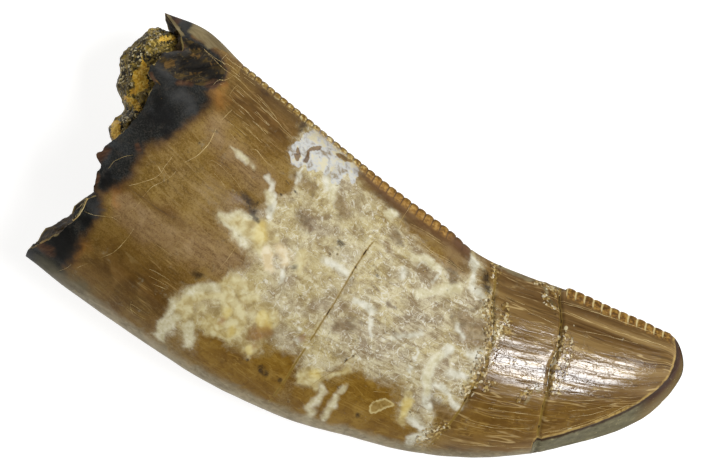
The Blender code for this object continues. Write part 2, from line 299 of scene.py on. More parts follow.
crown = {
    "rearPower": 0.72, "frontPower": 0.50,         # how fast a section swells at either edge
    "upperColumns": (26, 108, 26), "lowerColumns": (14, 36, 12),
    "rearBand": 0.05, "frontBand": 0.07,           # shares of the width with crowded columns
    "ringStep": 0.07,                              # distance between rings, mm
    "facetShare": 0.891, "facetFull": 0.50, "facetLeast": 0.20,
    "breakBlend": 1.6,
    "denticlesNear": (-8.30, 3.75, 33, 0.33, 0.40),    # first, last x, number, first and last pitch
    "denticlesTip": (8.29, 13.31, 12, 0.418, 0.418),
    "denticleHeights": [(-8.3, 0.05), (-3.0, 0.06), (0.0, 0.10), (4.0, 0.10), (8.0, 0.13), (12.0, 0.13),
                        (13.1, 0.04)],
    "denticleGroove": 0.025, "denticleSwell": 0.01, "denticleShape": 2.4, "denticleReach": 0.20,
    "denticleValley": 0.70, "denticleTipValley": 0.85,         # height of a valley as a share of the crest
    "denticleRings": (0, 0.13, 0.32, 0.50, 0.68, 0.87),        # rings between two valleys
    "crackSteps": (-0.11, -0.055, 0.0, 0.055, 0.11), "crackClear": 0.13,
    "tipRings": 32,                                # rings between the last one on the rear edge and the tip
    "breakLumps": (0.18, 0.035, 0.02),             # unevenness of the broken edge, coarse to fine
    "ripples": (0.035, 0.012), "grain": (0.010, 0.006), "crackLip": 0.02,      # relief, mm
    "ledgeDrop": 0.05, "ledgeStep": 0.045, "crumbs": (0.02, 0.03), "paleRise": 0.03, "glossRelief": 0.006,
    "facetDrop": 0.55,                             # slope of the facet beyond its line
}
cracks = [                                 # width, depth, side counted as positive, path
    (0.07, 0.045, 1, [(0.62, 3.40), (0.45, 2.40), (0.10, 1.90), (-0.35, 1.20), (-0.50, 0.70),
                     (-0.65, 0.0), (-0.80, -0.90), (-0.95, -1.80), (-1.12, -2.60), (-1.28, -3.40),
                     (-1.42, -4.10), (-1.60, -4.90), (-1.75, -5.70), (-1.95, -6.50), (-2.15, -7.30)]),
    (0.14, 0.12, -1, [(5.00, 2.30), (5.15, 1.80), (5.30, 1.30), (5.38, 0.90), (5.50, 0.40),
                      (5.66, 0.0), (5.88, -0.50), (6.00, -1.0), (5.95, -1.60), (6.06, -2.0),
                      (6.05, -2.60), (5.92, -3.10), (5.85, -3.60), (5.78, -4.20), (5.65, -4.70),
                      (5.40, -5.40), (5.0, -6.50)]),
    (0.13, 0.18, 1, [(8.0, 2.34), (8.15, 1.80), (8.35, 1.40), (8.52, 1.05), (8.66, 0.50),
                     (8.77, 0.0), (8.82, -0.50), (8.78, -0.90), (8.90, -1.60), (9.05, -2.20),
                     (9.10, -2.80), (9.20, -3.30), (9.30, -3.80), (9.45, -4.30), (9.55, -4.80)]),
]


def fullness(share):
    rear, front = crown["rearPower"], crown["frontPower"]
    peak = rear / (rear + front)
    highest = peak ** rear * (1 - peak) ** front
    return share ** rear * (1 - share) ** front / highest


def between(t, share):
    rear, front = through(rearEdge, t), through(frontEdge, t)
    return rear + (front - rear) * np.asarray(share)[..., None]


def columnShares(counts):
    rear, middle, front = counts
    first = crown["rearBand"] * (np.arange(rear) / rear) ** 2
    second = np.linspace(crown["rearBand"], 1 - crown["frontBand"], middle, endpoint=False)
    third = 1 - crown["frontBand"] * (1 - np.arange(front + 1) / front) ** 2
    return np.concatenate([first, second, third])


def upperPlace(t, share):                  # the share after making room for the facet
    facet = read(facetWidths, t)
    width = np.hypot(*(between(t, 1.0 + 0 * t) - between(t, 0 * t))[..., :2].T).T
    strength = np.clip(facet / crown["facetFull"], 0, 1)
    mark = crown["facetShare"]
    wanted = np.maximum(1 - facet / np.maximum(width, facet + 1e-6), crown["facetLeast"])
    edge = mark + (wanted - mark) * strength
    moved = np.where(share <= mark, share / mark * edge, edge + (1 - edge) * (share - mark) / (1 - mark))
    return np.where(facet > 0, moved, share), edge, strength


def upperPoint(t, share):
    place, edge, strength = upperPlace(t, share)
    bulge = through(bulges, np.minimum(t, tipPlace))[..., 0]
    point = between(t, place)
    point[..., 2] += bulge * fullness(place)
    top = between(t, edge)[..., 2] + bulge * fullness(edge)
    bottom = through(frontEdge, t)[..., 2]
    slope = top + (bottom - top) * (place - edge) / (1 - edge)
    worn = np.where(place > edge, strength, 0) * (read(facetWidths, t) > 0)
    point[..., 2] += (slope - point[..., 2]) * worn
    return point


def lowerPoint(t, share):
    point = between(t, share)
    point[..., 2] -= through(bulges, np.minimum(t, tipPlace))[..., 1] * fullness(share)
    point[..., 2] = np.maximum(point[..., 2], 0)
    return point


def placeOn(share, reach):                 # where along the crown a line x = reach(y) is met
    t = np.zeros_like(share)
    for _ in range(12):
        point = between(t, share)
        t = t + (reach(point[..., 1]) - point[..., 0]) / (between(t + 1, share) - point)[..., 0]
    return t


def breakStart(share, above):
    t = placeOn(share, lambda y: read(breakAbove if above else breakBelow, y))
    point = upperPoint(t, share) if above else lowerPoint(t, share)
    large, middle, small = crown["breakLumps"]
    coarse = np.array([noise.noise(Vector(p) / 0.7) * large for p in point])
    fine = cloud(point, 0.22, 3) * middle + cloud(point, 0.09, 4) * small
    return t + (coarse + fine) * np.sin(math.pi * share)


print("crown: net")
fineT = np.linspace(0, 13, 4000)
rearX = through(rearEdge, fineT)[:, 0]


def denticleValleys(first, last, count, firstPitch, lastPitch):
    pitch = np.linspace(firstPitch, lastPitch, count)
    return first + np.concatenate([[0], np.cumsum(pitch)]) * (last - first) / pitch.sum()


valleysNear = denticleValleys(*crown["denticlesNear"])
valleysTip = denticleValleys(*crown["denticlesTip"])
step = crown["ringStep"]
ringX = list(np.arange(rearX[0], valleysNear[0] - step / 2, step))
for valleys in (valleysNear, valleysTip):
    if valleys is valleysTip:
        ringX += list(np.arange(valleysNear[-1], valleysTip[0] - step / 2, step))
    for first, last in zip(valleys, valleys[1:]):
        ringX += [first + (last - first) * part for part in crown["denticleRings"]]
crackX = [path[0][0] for *_, path in cracks]
crackX[0] = valleysNear[np.argmin(abs(valleysNear - crackX[0]))]
ringX = [x for x in ringX if all(abs(x - c) > crown["crackClear"] for c in crackX)]
ringX += [c + offset for c in crackX for offset in crown["crackSteps"]]
ringX = np.array(sorted(ringX))
ringT = np.interp(ringX, rearX, fineT)
ringT = np.concatenate([ringT, np.linspace(ringT[-1], tipPlace, crown["tipRings"])[1:-1]])
crackT = np.interp(crackX, rearX, fineT)
crackRing = [int(np.argmin(abs(ringT - t))) for t in crackT]

upperShares = columnShares(crown["upperColumns"])
upperShares[np.argmin(abs(upperShares - crown["facetShare"]))] = crown["facetShare"]
lowerShares = columnShares(crown["lowerColumns"])


def bentNet(shares, above):                # rings that follow the broken edge and the cracks
    start = breakStart(shares, above)
    lines = []
    for *_, path in cracks:
        ys, xs = zip(*sorted((y, x) for x, y in path))
        line = placeOn(shares, lambda y: np.interp(y, ys, xs))
        if not above:
            line = line[0] + (line[-1] - line[0]) * shares
        lines.append(line)
    net = np.empty((len(ringT), len(shares)))
    for column in range(len(shares)):
        anchors = [0] + [line[column] for line in lines] + [tipPlace]
        t = np.interp(ringT, [0] + list(crackT) + [tipPlace], anchors)
        net[:, column] = t + start[column] * np.maximum(1 - t / crown["breakBlend"], 0)
    return net


upperT, lowerT = bentNet(upperShares, True), bentNet(lowerShares, False)
upperS, lowerS = np.broadcast_to(upperShares, upperT.shape), np.broadcast_to(lowerShares, lowerT.shape)
upperNet, lowerNet = upperPoint(upperT, upperS), lowerPoint(lowerT, lowerS)


def netNormals(net, turn):
    along, across = np.gradient(net, axis=0), np.gradient(net, axis=1)
    normal = np.cross(along, across) * turn
    return normal / np.maximum(np.linalg.norm(normal, axis=2, keepdims=True), 1e-9)


# One ring: over the upper side from the rear to the front edge, back along the lower side.
netPoints = np.concatenate([upperNet, lowerNet[:, -2:0:-1]], axis=1)
normals = np.concatenate([netNormals(upperNet, -1), netNormals(lowerNet, 1)[:, -2:0:-1]], axis=1)
ringCount, columnCount = netPoints.shape[:2]
isUpper = np.arange(columnCount) < len(upperShares)
shareAt = np.concatenate([upperPlace(upperT, upperS)[0], lowerS[:, -2:0:-1]], axis=1)
tAt = np.concatenate([upperT, lowerT[:, -2:0:-1]], axis=1)
widthAt = np.linalg.norm(between(tAt, np.ones_like(tAt)) - between(tAt, np.zeros_like(tAt)), axis=2)

# Denticles: 0 in a valley, 1 on a crest, by the ring's place on the rear edge.
crest = np.zeros(ringCount)
rowOf = np.zeros(ringCount)
for number, valleys in enumerate((valleysNear, valleysTip), 1):
    rings = (ringX >= valleys[0]) & (ringX <= valleys[-1])
    phase = np.interp(ringX[rings], valleys, np.arange(len(valleys))) % 1
    shape = 1 - np.abs(2 * phase - 1) ** crown["denticleShape"]
    crest[:len(ringX)][rings] = np.clip(shape, 0, 1) ** 0.7
    rowOf[:len(ringX)][rings] = number
rearPoint = netPoints[:, :1]
fromRear = np.linalg.norm(netPoints - rearPoint, axis=2)
along = np.gradient(rearPoint[:, 0], axis=0)
outward = np.stack([-along[:, 1], along[:, 0], 0 * along[:, 0]], axis=1)
outward *= np.sign(outward[:, 1:2]) / np.linalg.norm(outward, axis=1, keepdims=True)
inRow = rowOf > 0
endFade = np.ones(ringCount)
near = rowOf == 1
rearAt = through(rearEdge, ringT)[:, 0]
endFade[near] = smooth(3.75, 2.6, rearAt[near]) * smooth(-8.4, -7.6, rearAt[near])
reach = np.clip(1 - (fromRear / crown["denticleReach"]) ** 2, 0, 1) * inRow[:, None]
valley = np.where(rowOf == 2, crown["denticleTipValley"], crown["denticleValley"])
height = read(crown["denticleHeights"], rearAt)
push = (height * (valley + (1 - valley) * crest) * endFade)[:, None] * reach
netPoints = netPoints + outward[:, None] * push[..., None]
grooveFade = np.where((rowOf == 2)[:, None], smooth(0.45, 0.20, fromRear), smooth(0.26, 0.08, fromRear))
grooveFade *= inRow[:, None]
swell = (crest - 1) * crown["denticleGroove"] + crest * crown["denticleSwell"]
relief = grooveFade * swell[:, None]

# Relief of the surface, along its normals.
flat = netPoints.reshape(-1, 3)
plane = flat[:, :2]
upperMask = np.broadcast_to(isUpper, (ringCount, columnCount)).ravel().astype(float)
middleX = [((r[0] + r[2]) / 2,) for r in sections] + [(tip[0],)]
alongAt = through(middleX, np.minimum(tAt, tipPlace))[..., 0].ravel()
acrossAt = (shareAt * (widthAt + 9) / 2).ravel()
grain = np.stack([alongAt / 14, acrossAt, upperMask * 5], axis=1)
relief = relief.ravel()
bare = smooth(0.3, 0.8, fromRear.ravel())
large, small = crown["ripples"]
relief += bare * (large * cloud(flat, 2.2, 1) + small * cloud(flat, 0.7, 2))
large, small = crown["grain"]
relief += bare * large * cloud(grain, 0.16, 5) + bare * small * cloud(grain, 0.08, 6)

# Signed distance to the nearest crack; the sides alternate so that no false zero lies between.
crackGap = np.full(len(flat), 9.0)
crackOpen = np.zeros(len(flat))
crackTable = [
    [(-7.4, 0.2), (-5.4, 0.3), (-4.8, 0.65), (-4.5, 0.3), (-3.0, 0.3), (-2.7, 0.75), (-2.2, 0.8),
     (-1.9, 0.4), (-0.6, 0.35),
     (-0.3, 0.75), (0.0, 0.7), (0.3, 0.3), (0.6, 0.9), (0.8, 0.9), (0.95, 0.25), (1.5, 0.0)],
    [(-6.6, 0.2), (-5.2, 0.25), (-4.2, 0.6), (-3.2, 0.8), (-2.4, 0.4), (-1.4, 0.35), (-0.9, 0.8),
     (-0.3, 0.5), (0.2, 0.9),
     (0.9, 0.9), (1.2, 0.3), (1.9, 0.5), (2.4, 0.2)],
    [(-4.9, 0.5), (-4.3, 0.7), (-3.2, 0.6), (-2.0, 0.7), (-0.9, 1.0), (0.3, 1.0), (1.2, 0.8), (1.9, 0.9),
     (2.4, 0.4)],
]
ringAt = np.repeat(np.arange(ringCount), columnCount)
for (width, depth, side, path), ring, table in zip(cracks, crackRing, crackTable):
    gap = pathGap(plane, path) * np.where(ringAt > ring, side, -side)
    gap[ringAt == ring] = 0
    nearest = np.abs(gap) < np.abs(crackGap)
    crackGap[nearest] = gap[nearest]
    crackOpen[nearest] = read(table, plane[nearest, 1])
    groove = np.clip(1 - np.abs(gap) / width, 0, 1) ** 0.8 * read(table, plane[:, 1]) * upperMask
    relief -= depth * groove
    lip = smooth(0.4, 0.1, np.abs(gap)) * cloud(flat, 0.25, 7) * crown["crackLip"]
    relief += lip * upperMask * (1 if side != 1 or depth > 0.15 else 0.3)
crackOpen *= upperMask

print("crown: marks")
marks = {                                  # radius, softness, then x, y of each point; 0 closes an outline
    "belt": [                              # the mottled belt across the middle
        (0, 0.9, -4.85, 5.1, -5.05, 4.3, -4.95, 3.6, -4.5, 3, -4.25, 2.4, -4.5, 1.6, -5.2, 0.9, -5.6, 0.5,
         -6.9, -0.1, -5.6, -0.8, -4.9, -1.3, -5, -1.8, -5.5, -2.2, -5.8, -2.8, -6.5, -3.2, -7.2, -3.6,
         -7.6, -4.3, -7.3, -4.8, -7.6, -5.2, -7.9, -6, -7.1, -5.9, -6.9, -5.3, -6.5, -5.4, -6.4, -5.9,
         -6, -5.9, -6, -5.1, -5.3, -4.9, -4.9, -4.9, -4.4, -5.1, -3.4, -5.2, -3.2, -4.3, -2.2, -4.6,
         -1.7, -4.4, -1.4, -5, -1.1, -5.7, -0.3, -5, 0.3, -4.3, 0.8, -4.1, 2, -4.2, 3, -4, 3.2, -5,
         3.6, -5.6, 3.9, -5.4, 4.5, -5.3, 4.3, -6.6, 4.9, -6.5, 4.9, -5.2, 4.7, -4.6, 5.7, -4, 5.8, -3.1,
         6.1, -2, 5.9, -1, 5.7, 0, 5.4, 1, 5, 1.2, 4.6, 0.9, 4.5, 1.9, 3.7, 2.5, 3.9, 1.3, 3.2, 1.3,
         2.9, 1.3, 1.5, 1.9, 0.8, 2.2, 0.3, 2.6, -0.5, 2.9, -1, 3.1, -1.6, 3.4, -1.9, 3.5, -1.9, 4.2,
         -3.3, 4.7),
    ],
    "milk": [                              # runs of bluish white
        (0.14, 0.28, -3.3, 3.5, -3.1, 2.75), (0.16, 0.3, -2.8, 3.4, -2.92, 2.8),
        (0.06, 0.15, -4.3, 3.1, -4.22, 2.35), (0.09, 0.25, -5.6, 2.2, -5.35, 2, -5.25, 1.75),
        (0.14, 0.25, -5.05, 1.5, -4.9, 1, -4.86, 0.6), (0.16, 0.45, -1.9, -0.25, -1.4, -0.4, -0.9, -0.45),
        (0.1, 0.25, 1.25, 0.55, 1.3, 0.25),
        (0.05, 0.12, 1.93, 0.55, 1.88, 1, 2.15, 1.28, 2.55, 1.3, 2.82, 1.05, 2.86, 0.7, 2.6, 0.5),
        (0.13, 0.3, 3.95, 2.1, 4.25, 1.7, 4.3, 1.25), (0.14, 0.4, 4.35, 1, 4.9, 0.65),
        (0.15, 0.3, -0.15, -1.38, 0.35, -1.45, 0.7, -1.62), (0.08, 0.2, 0.8, -2, 1, -2.6),
        (0.19, 0.28, 4.35, -2, 3.98, -2.6, 3.9, -3.3, 4.08, -4, 4.42, -4.7),
        (0.06, 0.15, 3.05, -2.45, 3.25, -2.6, 3.15, -2.9),
        (0.05, 0.1, 3.1, -3.3, 3.3, -3.35, 3.25, -3.5, 3.08, -3.48), (0.2, 0.3, 4.2, -6.25, 4.6, -5.9),
        (0.14, 0.3, 4.1, -5.3, 4.5, -5.5), (0.08, 0.25, -3.45, -1.2, -3.35, -1.75),
        (0.12, 0.3, -1.95, -3.4), (0.12, 0.3, -1.75, -3.9), (0.2, 0.35, 4.7, -2.85, 5.3, -2.9),
        (0.12, 0.3, 4.3, -3.5, 5, -3.7, 5.7, -4.05), (0.16, 0.35, 5.4, -1.9, 5.7, -1.6),
        (0.12, 0.3, 4.4, -0.9, 4.8, -1.2), (0.1, 0.3, 1.9, -2.3, 2.6, -2.1, 3, -1.7),
    ],
    "crust": [                             # bluish white crust down from the rear edge
        (0, 0.2, -4.78, 4.53, -4.66, 4.7, -4.3, 4.95, -3.78, 4.72, -3.45, 4.7, -2.87, 4.4, -2.6, 4.28,
         -2.85, 4.22, -3.12, 4.3, -3.25, 4.22, -3.1, 4.05, -2.85, 3.98, -2.45, 4.02, -2.37, 4.15,
         -1.99, 4.02, -1.87, 3.65, -2, 3.3, -2.2, 3.15, -2.45, 3.55, -2.6, 3, -2.95, 2.95, -3.1, 3.4,
         -3.25, 3.05, -3.5, 3.3, -3.72, 3.12, -3.87, 3.22, -4.05, 3.1, -4.3, 3.3, -4.45, 3.05, -4.87, 3.15,
         -5.12, 3.57, -5.03, 4.07, -4.8, 4.15),
    ],
    "cream": [                             # smooth opaque cream
        (0.05, 0.3, -7.55, 2.8, -6.3, 2.4), (0.13, 0.3, -7.15, 2.7, -6.7, 2.54),
        (0.2, 0.28, 3.86, 0.68, 3.2, 0.38, 2.7, 0.05, 2.25, -0.1),
        (0.17, 0.35, -0.12, -5.45, -0.22, -6.2, -0.32, -6.95), (0.07, 0.25, 0.7, -5.1, 0.62, -5.45),
        (0.15, 0.3, 0.55, -5.7, 0.48, -6.05, 0.32, -6.65), (0.18, 0.35, -7, -3.65, -6.5, -3.3, -6, -3),
        (0.15, 0.35, -7.45, -4.3, -7.5, -4.8), (0.13, 0.35, -6.8, 0, -6.2, 0.3, -5.6, 0.4),
        (0.12, 0.3, -6.6, -0.3, -5.8, -0.7, -5.3, -0.9),
        (0.26, 0.3, -7.1, -4.85, -7.45, -5.35, -7.5, -5.85), (0.22, 0.3, -6.35, -5, -6.22, -5.7),
        (0.19, 0.3, -0.05, 2.72), (0.16, 0.35, -5.3, 1.6, -5.05, 1.2), (0.18, 0.4, -2.9, 3, -2.7, 2.4),
        (0.16, 0.35, 1.5, 1.2, 2.1, 1.45, 2.6, 1.2), (0.2, 0.4, 4, -2.4, 3.9, -3.2, 4.1, -4),
    ],
    "butter": [                            # smooth yellow domes
        (0.32, 0.35, -3.55, -3.55, -3.45, -3.7), (0.22, 0.3, -3.65, -4.95),
        (0.3, 0.45, -5.1, 0.1, -4.9, -0.3), (0.2, 0.4, -5.2, -3.9), (0.22, 0.4, -4.6, -4.6),
        (0.2, 0.4, -0.6, -5), (0.16, 0.35, 3.5, -4.6, 3.55, -5.2),
    ],
    "holes": [                             # where the pale crust is broken through
        (0.09, 0.14, -4.82, 3.66, -4.7, 3.44), (0.09, 0.12, -4.36, 3.84, -4.28, 3.66, -4.34, 3.42),
        (0.09, 0.12, -4.26, 4, -4.02, 4.14), (0.04, 0.1, -4.8, 4.22, -4.62, 4.28),
        (0.09, 0.14, -3.12, 4.18, -2.8, 4.12, -2.5, 4.12),
    ],
    "blush": [                             # pinkish cream
        (0.33, 0.35, -4.35, -0.95, -4.1, -1.35), (0.22, 0.4, -3.9, -0.5, -3.5, -0.75),
    ],
    "yolk": [                              # yellow cream
        (0, 0.4, -6.85, -0.05, -6.4, 0.25, -5.8, 0.35, -5.2, 0.45, -4.6, 0.3, -4.2, 0.1, -3.9, -0.3,
         -4.1, -0.8, -4.6, -1.2, -5.1, -0.95, -5.7, -0.7, -6.5, -0.4),
        (0, 0.4, -5.9, -2.7, -5.3, -2.2, -4.6, -2.3, -4, -2.8, -3.2, -2.9, -2.8, -3.3, -3, -3.8,
         -3.15, -4.5, -3.3, -5.1, -4, -5.25, -4.7, -5, -5.3, -4.85, -6.1, -5.1, -6.3, -5.3, -6.8, -5.2,
         -7.2, -4.8, -7.5, -4.3, -7, -3.7, -6.4, -3.2), (0.26, 0.35, -3.6, -5), (0.3, 0.4, -3.5, -3.55),
        (0.28, 0.4, -4.5, -4.4), (0, 0.35, -1.45, -4.9, -0.6, -4.7, -0.1, -5, -0.5, -5.6, -1.2, -5.7),
        (0.2, 0.3, 3.45, -4.4, 3.5, -4.9, 3.65, -5.5), (0.1, 0.25, 3.6, 2.48, 4, 2.2),
        (0.11, 0.3, 0.6, -4.3, 0.1, -4.8, -0.3, -5.1), (0.22, 0.5, 5.85, -0.1, 6.1, -0.7, 6, -1.5),
        (0.2, 0.5, -3, -0.3, -2.9, -0.9), (0.25, 0.5, -3, 4.35, -2.2, 4.1),
    ],
    "honey": [                             # clear honey-coloured enamel
        (0, 0.4, -6, -5.2, -5.3, -4.9, -4.8, -5, -4, -5.2, -3.1, -5.2, -2.2, -4.7, -1.75, -4.5, -1.55, -5.8,
         -1.9, -7, -4.5, -6.6, -6, -6.1), (0, 0.4, 0.4, -5.2, 0.9, -4.3, 2.4, -4.4, 3.1, -4.6, 3.2, -5.5,
         4.2, -5.6, 3.8, -6.6, 1, -6.9, -0.9, -7, -1.3, -5.9, -0.5, -5.6),
        (0, 1, 5.6, -5.6, 6.3, -3.2, 8.9, -2.8, 12.8, -1.2, 13, -1.5, 9.4, -4.3, 6.8, -5.5),
    ],
    "moss": [                              # yellower olive
        (0, 1.2, -11, 1.2, -10.3, 1.9, -9.6, 2.6, -8.7, 3, -8.3, 1.6, -8.6, -0.3, -10.4, -0.1, -11.2, 0.3),
        (0, 1.2, -11.9, -2.6, -10.6, -2.4, -9.4, -2.8, -9.2, -4.2, -11, -4.6, -12.1, -4.3),
        (0.5, 1, -6.2, 1.8, -5.8, 1.4),
    ],
    "haze": [                              # milky brown: painted sheen where the body catches a broad reflection, and the paler inside of the lifted flake
        (0, 0.5, -11.5, -0.6, -10.6, -0.62, -9.2, -0.95, -8, -1.25, -8.1, -2.4, -9.3, -2.3, -10.6, -2.1,
         -11.3, -1.9),
        (0, 1.6, -10.3, -0.8, -8, -1, -6, -0.9, -5.2, -1.5, -5.8, -2.6, -8, -2.5, -9.9, -2.1),
        (0.45, 0.9, -8.5, 3.6, -8.1, 2.9), (0.5, 1.2, -7.4, 2.6, -5.8, 2), (0.35, 0.9, 3, 1.5, 3.9, 1.2),
        (0.2, 0.15, 2.55, -5.1, 2.3, -5.5),
    ],
    "umber": [                             # brown gaps in the belt
        (0.2, 0.4, 0.3, 1.9, 0.8, 1.6), (0.14, 0.3, 0.2, 1.3, 0.5, 1.1), (0.12, 0.6, 2.1, 0.8, 2.35, 0.7),
        (0.24, 0.5, 3.3, 1.2, 3.6, 0.8), (0.28, 0.6, -3.6, 1.2, -3.2, 0.8),
        (0.28, 0.5, -2.35, 2.35, -1.9, 1.9), (0.26, 0.6, -4.2, 2.7, -3.6, 2.4),
        (0.2, 1, -0.4, -1.9, 0.3, -2.3), (0.3, 0.6, -0.3, -2.6, 0.1, -2.5),
        (0.13, 0.3, 1.3, -1, 1.6, -1.05), (0, 0.6, 4.3, -4.1, 5.5, -4.2, 5.4, -4.9, 4.6, -4.7),
        (0, 0.8, 4, -0.1, 5.6, -0.2, 5.8, -1.6, 4.4, -1.4), (0, 0.55, -1.9, 4.2, -1.2, 3.9, 0.6, 3.4,
         2.8, 3, 3.6, 2.7, 3.9, 1.7, 3, 1.7, 2, 2.2, 0.9, 2.4, -0.4, 3, -1.2, 3.3, -1.85, 3.6),
        (0.1, 0.25, 5.05, 0.6, 4.7, 0.1),
    ],
    "soot": [                              # the dark zone at the base
        (0, 1.3, -11.9, 4.9, -11.2, 4.8, -10.5, 4.9, -9.9, 5, -9.3, 4.7, -9.15, 4.1, -9.35, 3.7, -9.6, 3.3,
         -9.8, 2.8, -10.15, 2.3, -10.55, 1.9, -10.95, 1.6, -11.05, 1.2, -11.05, 0.5, -11, 0.2, -11.3, -0.15,
         -11.65, -0.5, -12, -0.95, -12.6, -0.9, -12.8, 1.2, -12.2, 3, -12, 4),
        (0, 0.4, -12.4, 7.1, -12.4, 7.7, -11, 7.6, -10.85, 6.7, -11.2, 6.3),
        (0, 0.5, -11.2, 6.8, -10.5, 6.62, -10, 6.5, -9.4, 6.35, -8.9, 5.9, -8.9, 5.4, -9.05, 5.1,
         -9.3, 4.75, -9.9, 4.6, -10.5, 4.5, -11, 4.3, -11.4, 4, -12.2, 4.6, -12.2, 5.8),
        (0, 1.1, -12.2, -0.95, -11.95, -1.2, -11.85, -1.7, -11.85, -2.4, -12.05, -2.9, -12.25, -3.3,
         -12.4, -3.8, -12.4, -4.4, -12.5, -4.9, -13, -5.2, -14.3, -4.9, -14.6, -4.2, -13.1, -2.5,
         -12.7, -1),
    ],
    "char": [                              # its blackest parts
        (0.38, 0.9, -11, 3.5, -10.4, 3, -10.9, 2.8), (0.18, 0.5, -10, 2.35, -10.3, 2.5),
        (0.25, 0.5, -10.5, 5.6, -9.9, 5.6, -9.3, 5.45), (0.18, 0.4, -11, 6.35, -10.5, 6.3),
        (0.22, 0.4, -11.95, 0, -11.7, -0.3, -12, -0.6), (0.6, 0.9, -13, -3.3, -12.6, -3.9),
        (0.25, 0.6, -12.2, -2.4, -12, -2.2),
    ],
    "slate": [                             # its grey and mauve parts
        (0.24, 0.5, -11.6, 4.9, -11.2, 4.7), (0.22, 0.7, -10.5, 4.2, -9.8, 4.1),
        (0.13, 0.25, -11.45, 5.55, -11, 5.95, -10.75, 6.02),
        (0.16, 0.4, -11.6, 7.2, -11.2, 7.1, -11.1, 6.85), (0.12, 0.8, -12.1, -1.5, -11.8, -1.9),
        (0.15, 1.1, -10.3, 4.05, -9.7, 3.8),
    ],
    "tan": [                               # its brown ledges and paler streaks
        (0, 0.12, -11.55, 5.22, -11.02, 5.56, -10.95, 5.32, -11.3, 5.08),
        (0.05, 0.12, -10.55, 5.8, -10.2, 6.05), (0.07, 0.15, -11.45, 4.18, -11.35, 4.22),
        (0.04, 0.12, -10.9, 6, -10.6, 6.22, -10.3, 6.3), (0.05, 0.12, -9.6, 5.9, -9.3, 6.05),
        (0.05, 0.12, -10.2, 5.3, -9.9, 5.45),
    ],
    "lichen": [                            # grey-green along the front edge
        (0, 0.7, -13.6, -4.5, -12.4, -4.72, -11.2, -4.95, -10.3, -5.7, -12, -5.9, -14, -5.2),
    ],
    "russet": [                            # red-brown broken parts
        (0, 0.4, -12.25, 1, -12.5, 0.9, -12.9, 0.6, -12.9, 0.3, -12.45, 0.1, -12.35, 0.5),
        (0, 0.3, -12.4, -0.2, -12.6, -0.9, -12.3, -1.1, -12.22, -0.9, -12.25, -0.3),
        (0, 0.25, -12.7, 7.6, -11.6, 7.6, -11.5, 7.2, -11.7, 6.85, -12.1, 6.95, -12.7, 7.1),
        (0.12, 0.3, -10.6, 4.7, -10.1, 4.8), (0.16, 0.4, -9.3, 5, -9.1, 5.1),
        (0.08, 0.3, -11.8, 4.5, -11.6, 4.3), (0.16, 0.4, -11.4, 6.2, -11.1, 6.1),
        (0.22, 0.5, -13.6, -4.1, -13.2, -4.2), (0.1, 0.25, -11.25, 1.45, -11.15, 1.3),
    ],
    "bone": [                              # worn, broken and bleached parts
        (0, 0.45, -11, 6.85, -10.3, 6.6, -9.95, 6.48, -9.6, 6.62, -9.1, 6.6, -8.6, 6.5, -9.3, 7, -11, 7.5),
        (0.08, 0.12, -12.15, 7.16, -11.8, 6.96, -11.5, 6.78, -11.2, 6.6),
        (0.03, 0.1, -12.22, -1.18, -12.46, -1.55, -12.5, -1.95, -12.6, -2.3, -12.84, -2.72, -13.1, -3.05),
        (0.07, 0.12, -13.06, -3.08, -13.2, -3.38),
        (0.03, 0.1, -13.22, -3.35, -13.48, -3.72, -13.75, -4.02, -14, -4.28, -14.15, -4.42),
        (0.09, 0.2, 5, 2.28, 5.8, 2.12, 6.6, 2.12), (0.12, 0.2, 6.8, 2.25, 7.9, 2.25),
        (0.08, 0.25, 7.3, 2.05, 7.55, 1.85), (0.1, 0.25, 7.7, 1.68, 8.02, 1.5),
        (0.09, 0.35, 8.45, -2.05, 8.62, -2.2), (0.06, 0.3, 8.35, -2.55, 8.28, -2.9),
    ],
    "crumb": [                             # chipped, sparkling ground along the wide cracks
        (0.24, 0.7, 5.3, 0.6, 5.45, 0.2, 5.75, -0.2, 5.95, -0.7, 6.05, -1.2, 6, -1.9, 6.02, -2.5,
         5.9, -3.2), (0.2, 0.5, 6.1, 0.5, 6.25, 0.1, 6.3, -0.4), (0.1, 0.5, 4.98, 2.2, 5.15, 1.6),
        (0.16, 0.5, 8.78, 0.3, 8.92, -0.4, 9.02, -1, 9.15, -1.9),
        (0.1, 0.4, 7.45, 1.66, 7.8, 1.5, 8.15, 1.4), (0.14, 0.25, 6.85, 2.2, 7.5, 2.2, 7.95, 2),
        (0.12, 0.3, 8.3, -2.3, 8, -2.9), (0.05, 0.25, 9.2, 0.3, 9.45, -0.3, 9.42, -0.9, 9.4, -1.5, 9.5, -2),
        (0.1, 0.3, 6.7, -2.6, 6.4, -3), (0.1, 0.9, 4.8, -6, 5.3, -5.2),
    ],
    "rust": [                              # rusty spots
        (0.3, 0.4, -3.7, -4.25, -3.3, -4.05), (0.14, 0.4, -3.9, -4.55), (0.12, 0.5, -3.45, -4.7),
        (0.15, 0.4, -5.25, -4.25), (0.14, 0.3, -1.65, -3.75), (0.4, 0.9, -8.85, 4.55),
        (0.2, 0.7, -11.95, -3.4, -12.1, -4.1), (0.12, 0.3, -9, 5.2, -8.8, 5.3),
        (0.15, 0.6, -11.4, -0.6, -11.2, -1.2),
    ],
    "smudge": [                            # dark specks and smears
        (0.17, 0.45, -6.25, 1.1, -5.9, 0.85, -5.6, 0.5), (0.09, 0.2, -6, 0.97), (0.06, 0.15, -5.6, 1),
        (0.1, 0.2, -5.5, 0.38, -5.3, 0.3), (0.15, 0.4, -7, -2.75, -6.8, -2.8),
        (0.14, 0.25, -2.9, -5.6, -2.6, -5.75), (0.1, 0.2, -1.9, -5.8), (0.07, 0.15, -3.55, -5.45),
        (0.06, 0.1, -0.9, -2.92), (0.06, 0.1, 0.65, -3.75), (0.06, 0.12, 0.42, -3.9, 0.36, -4.05),
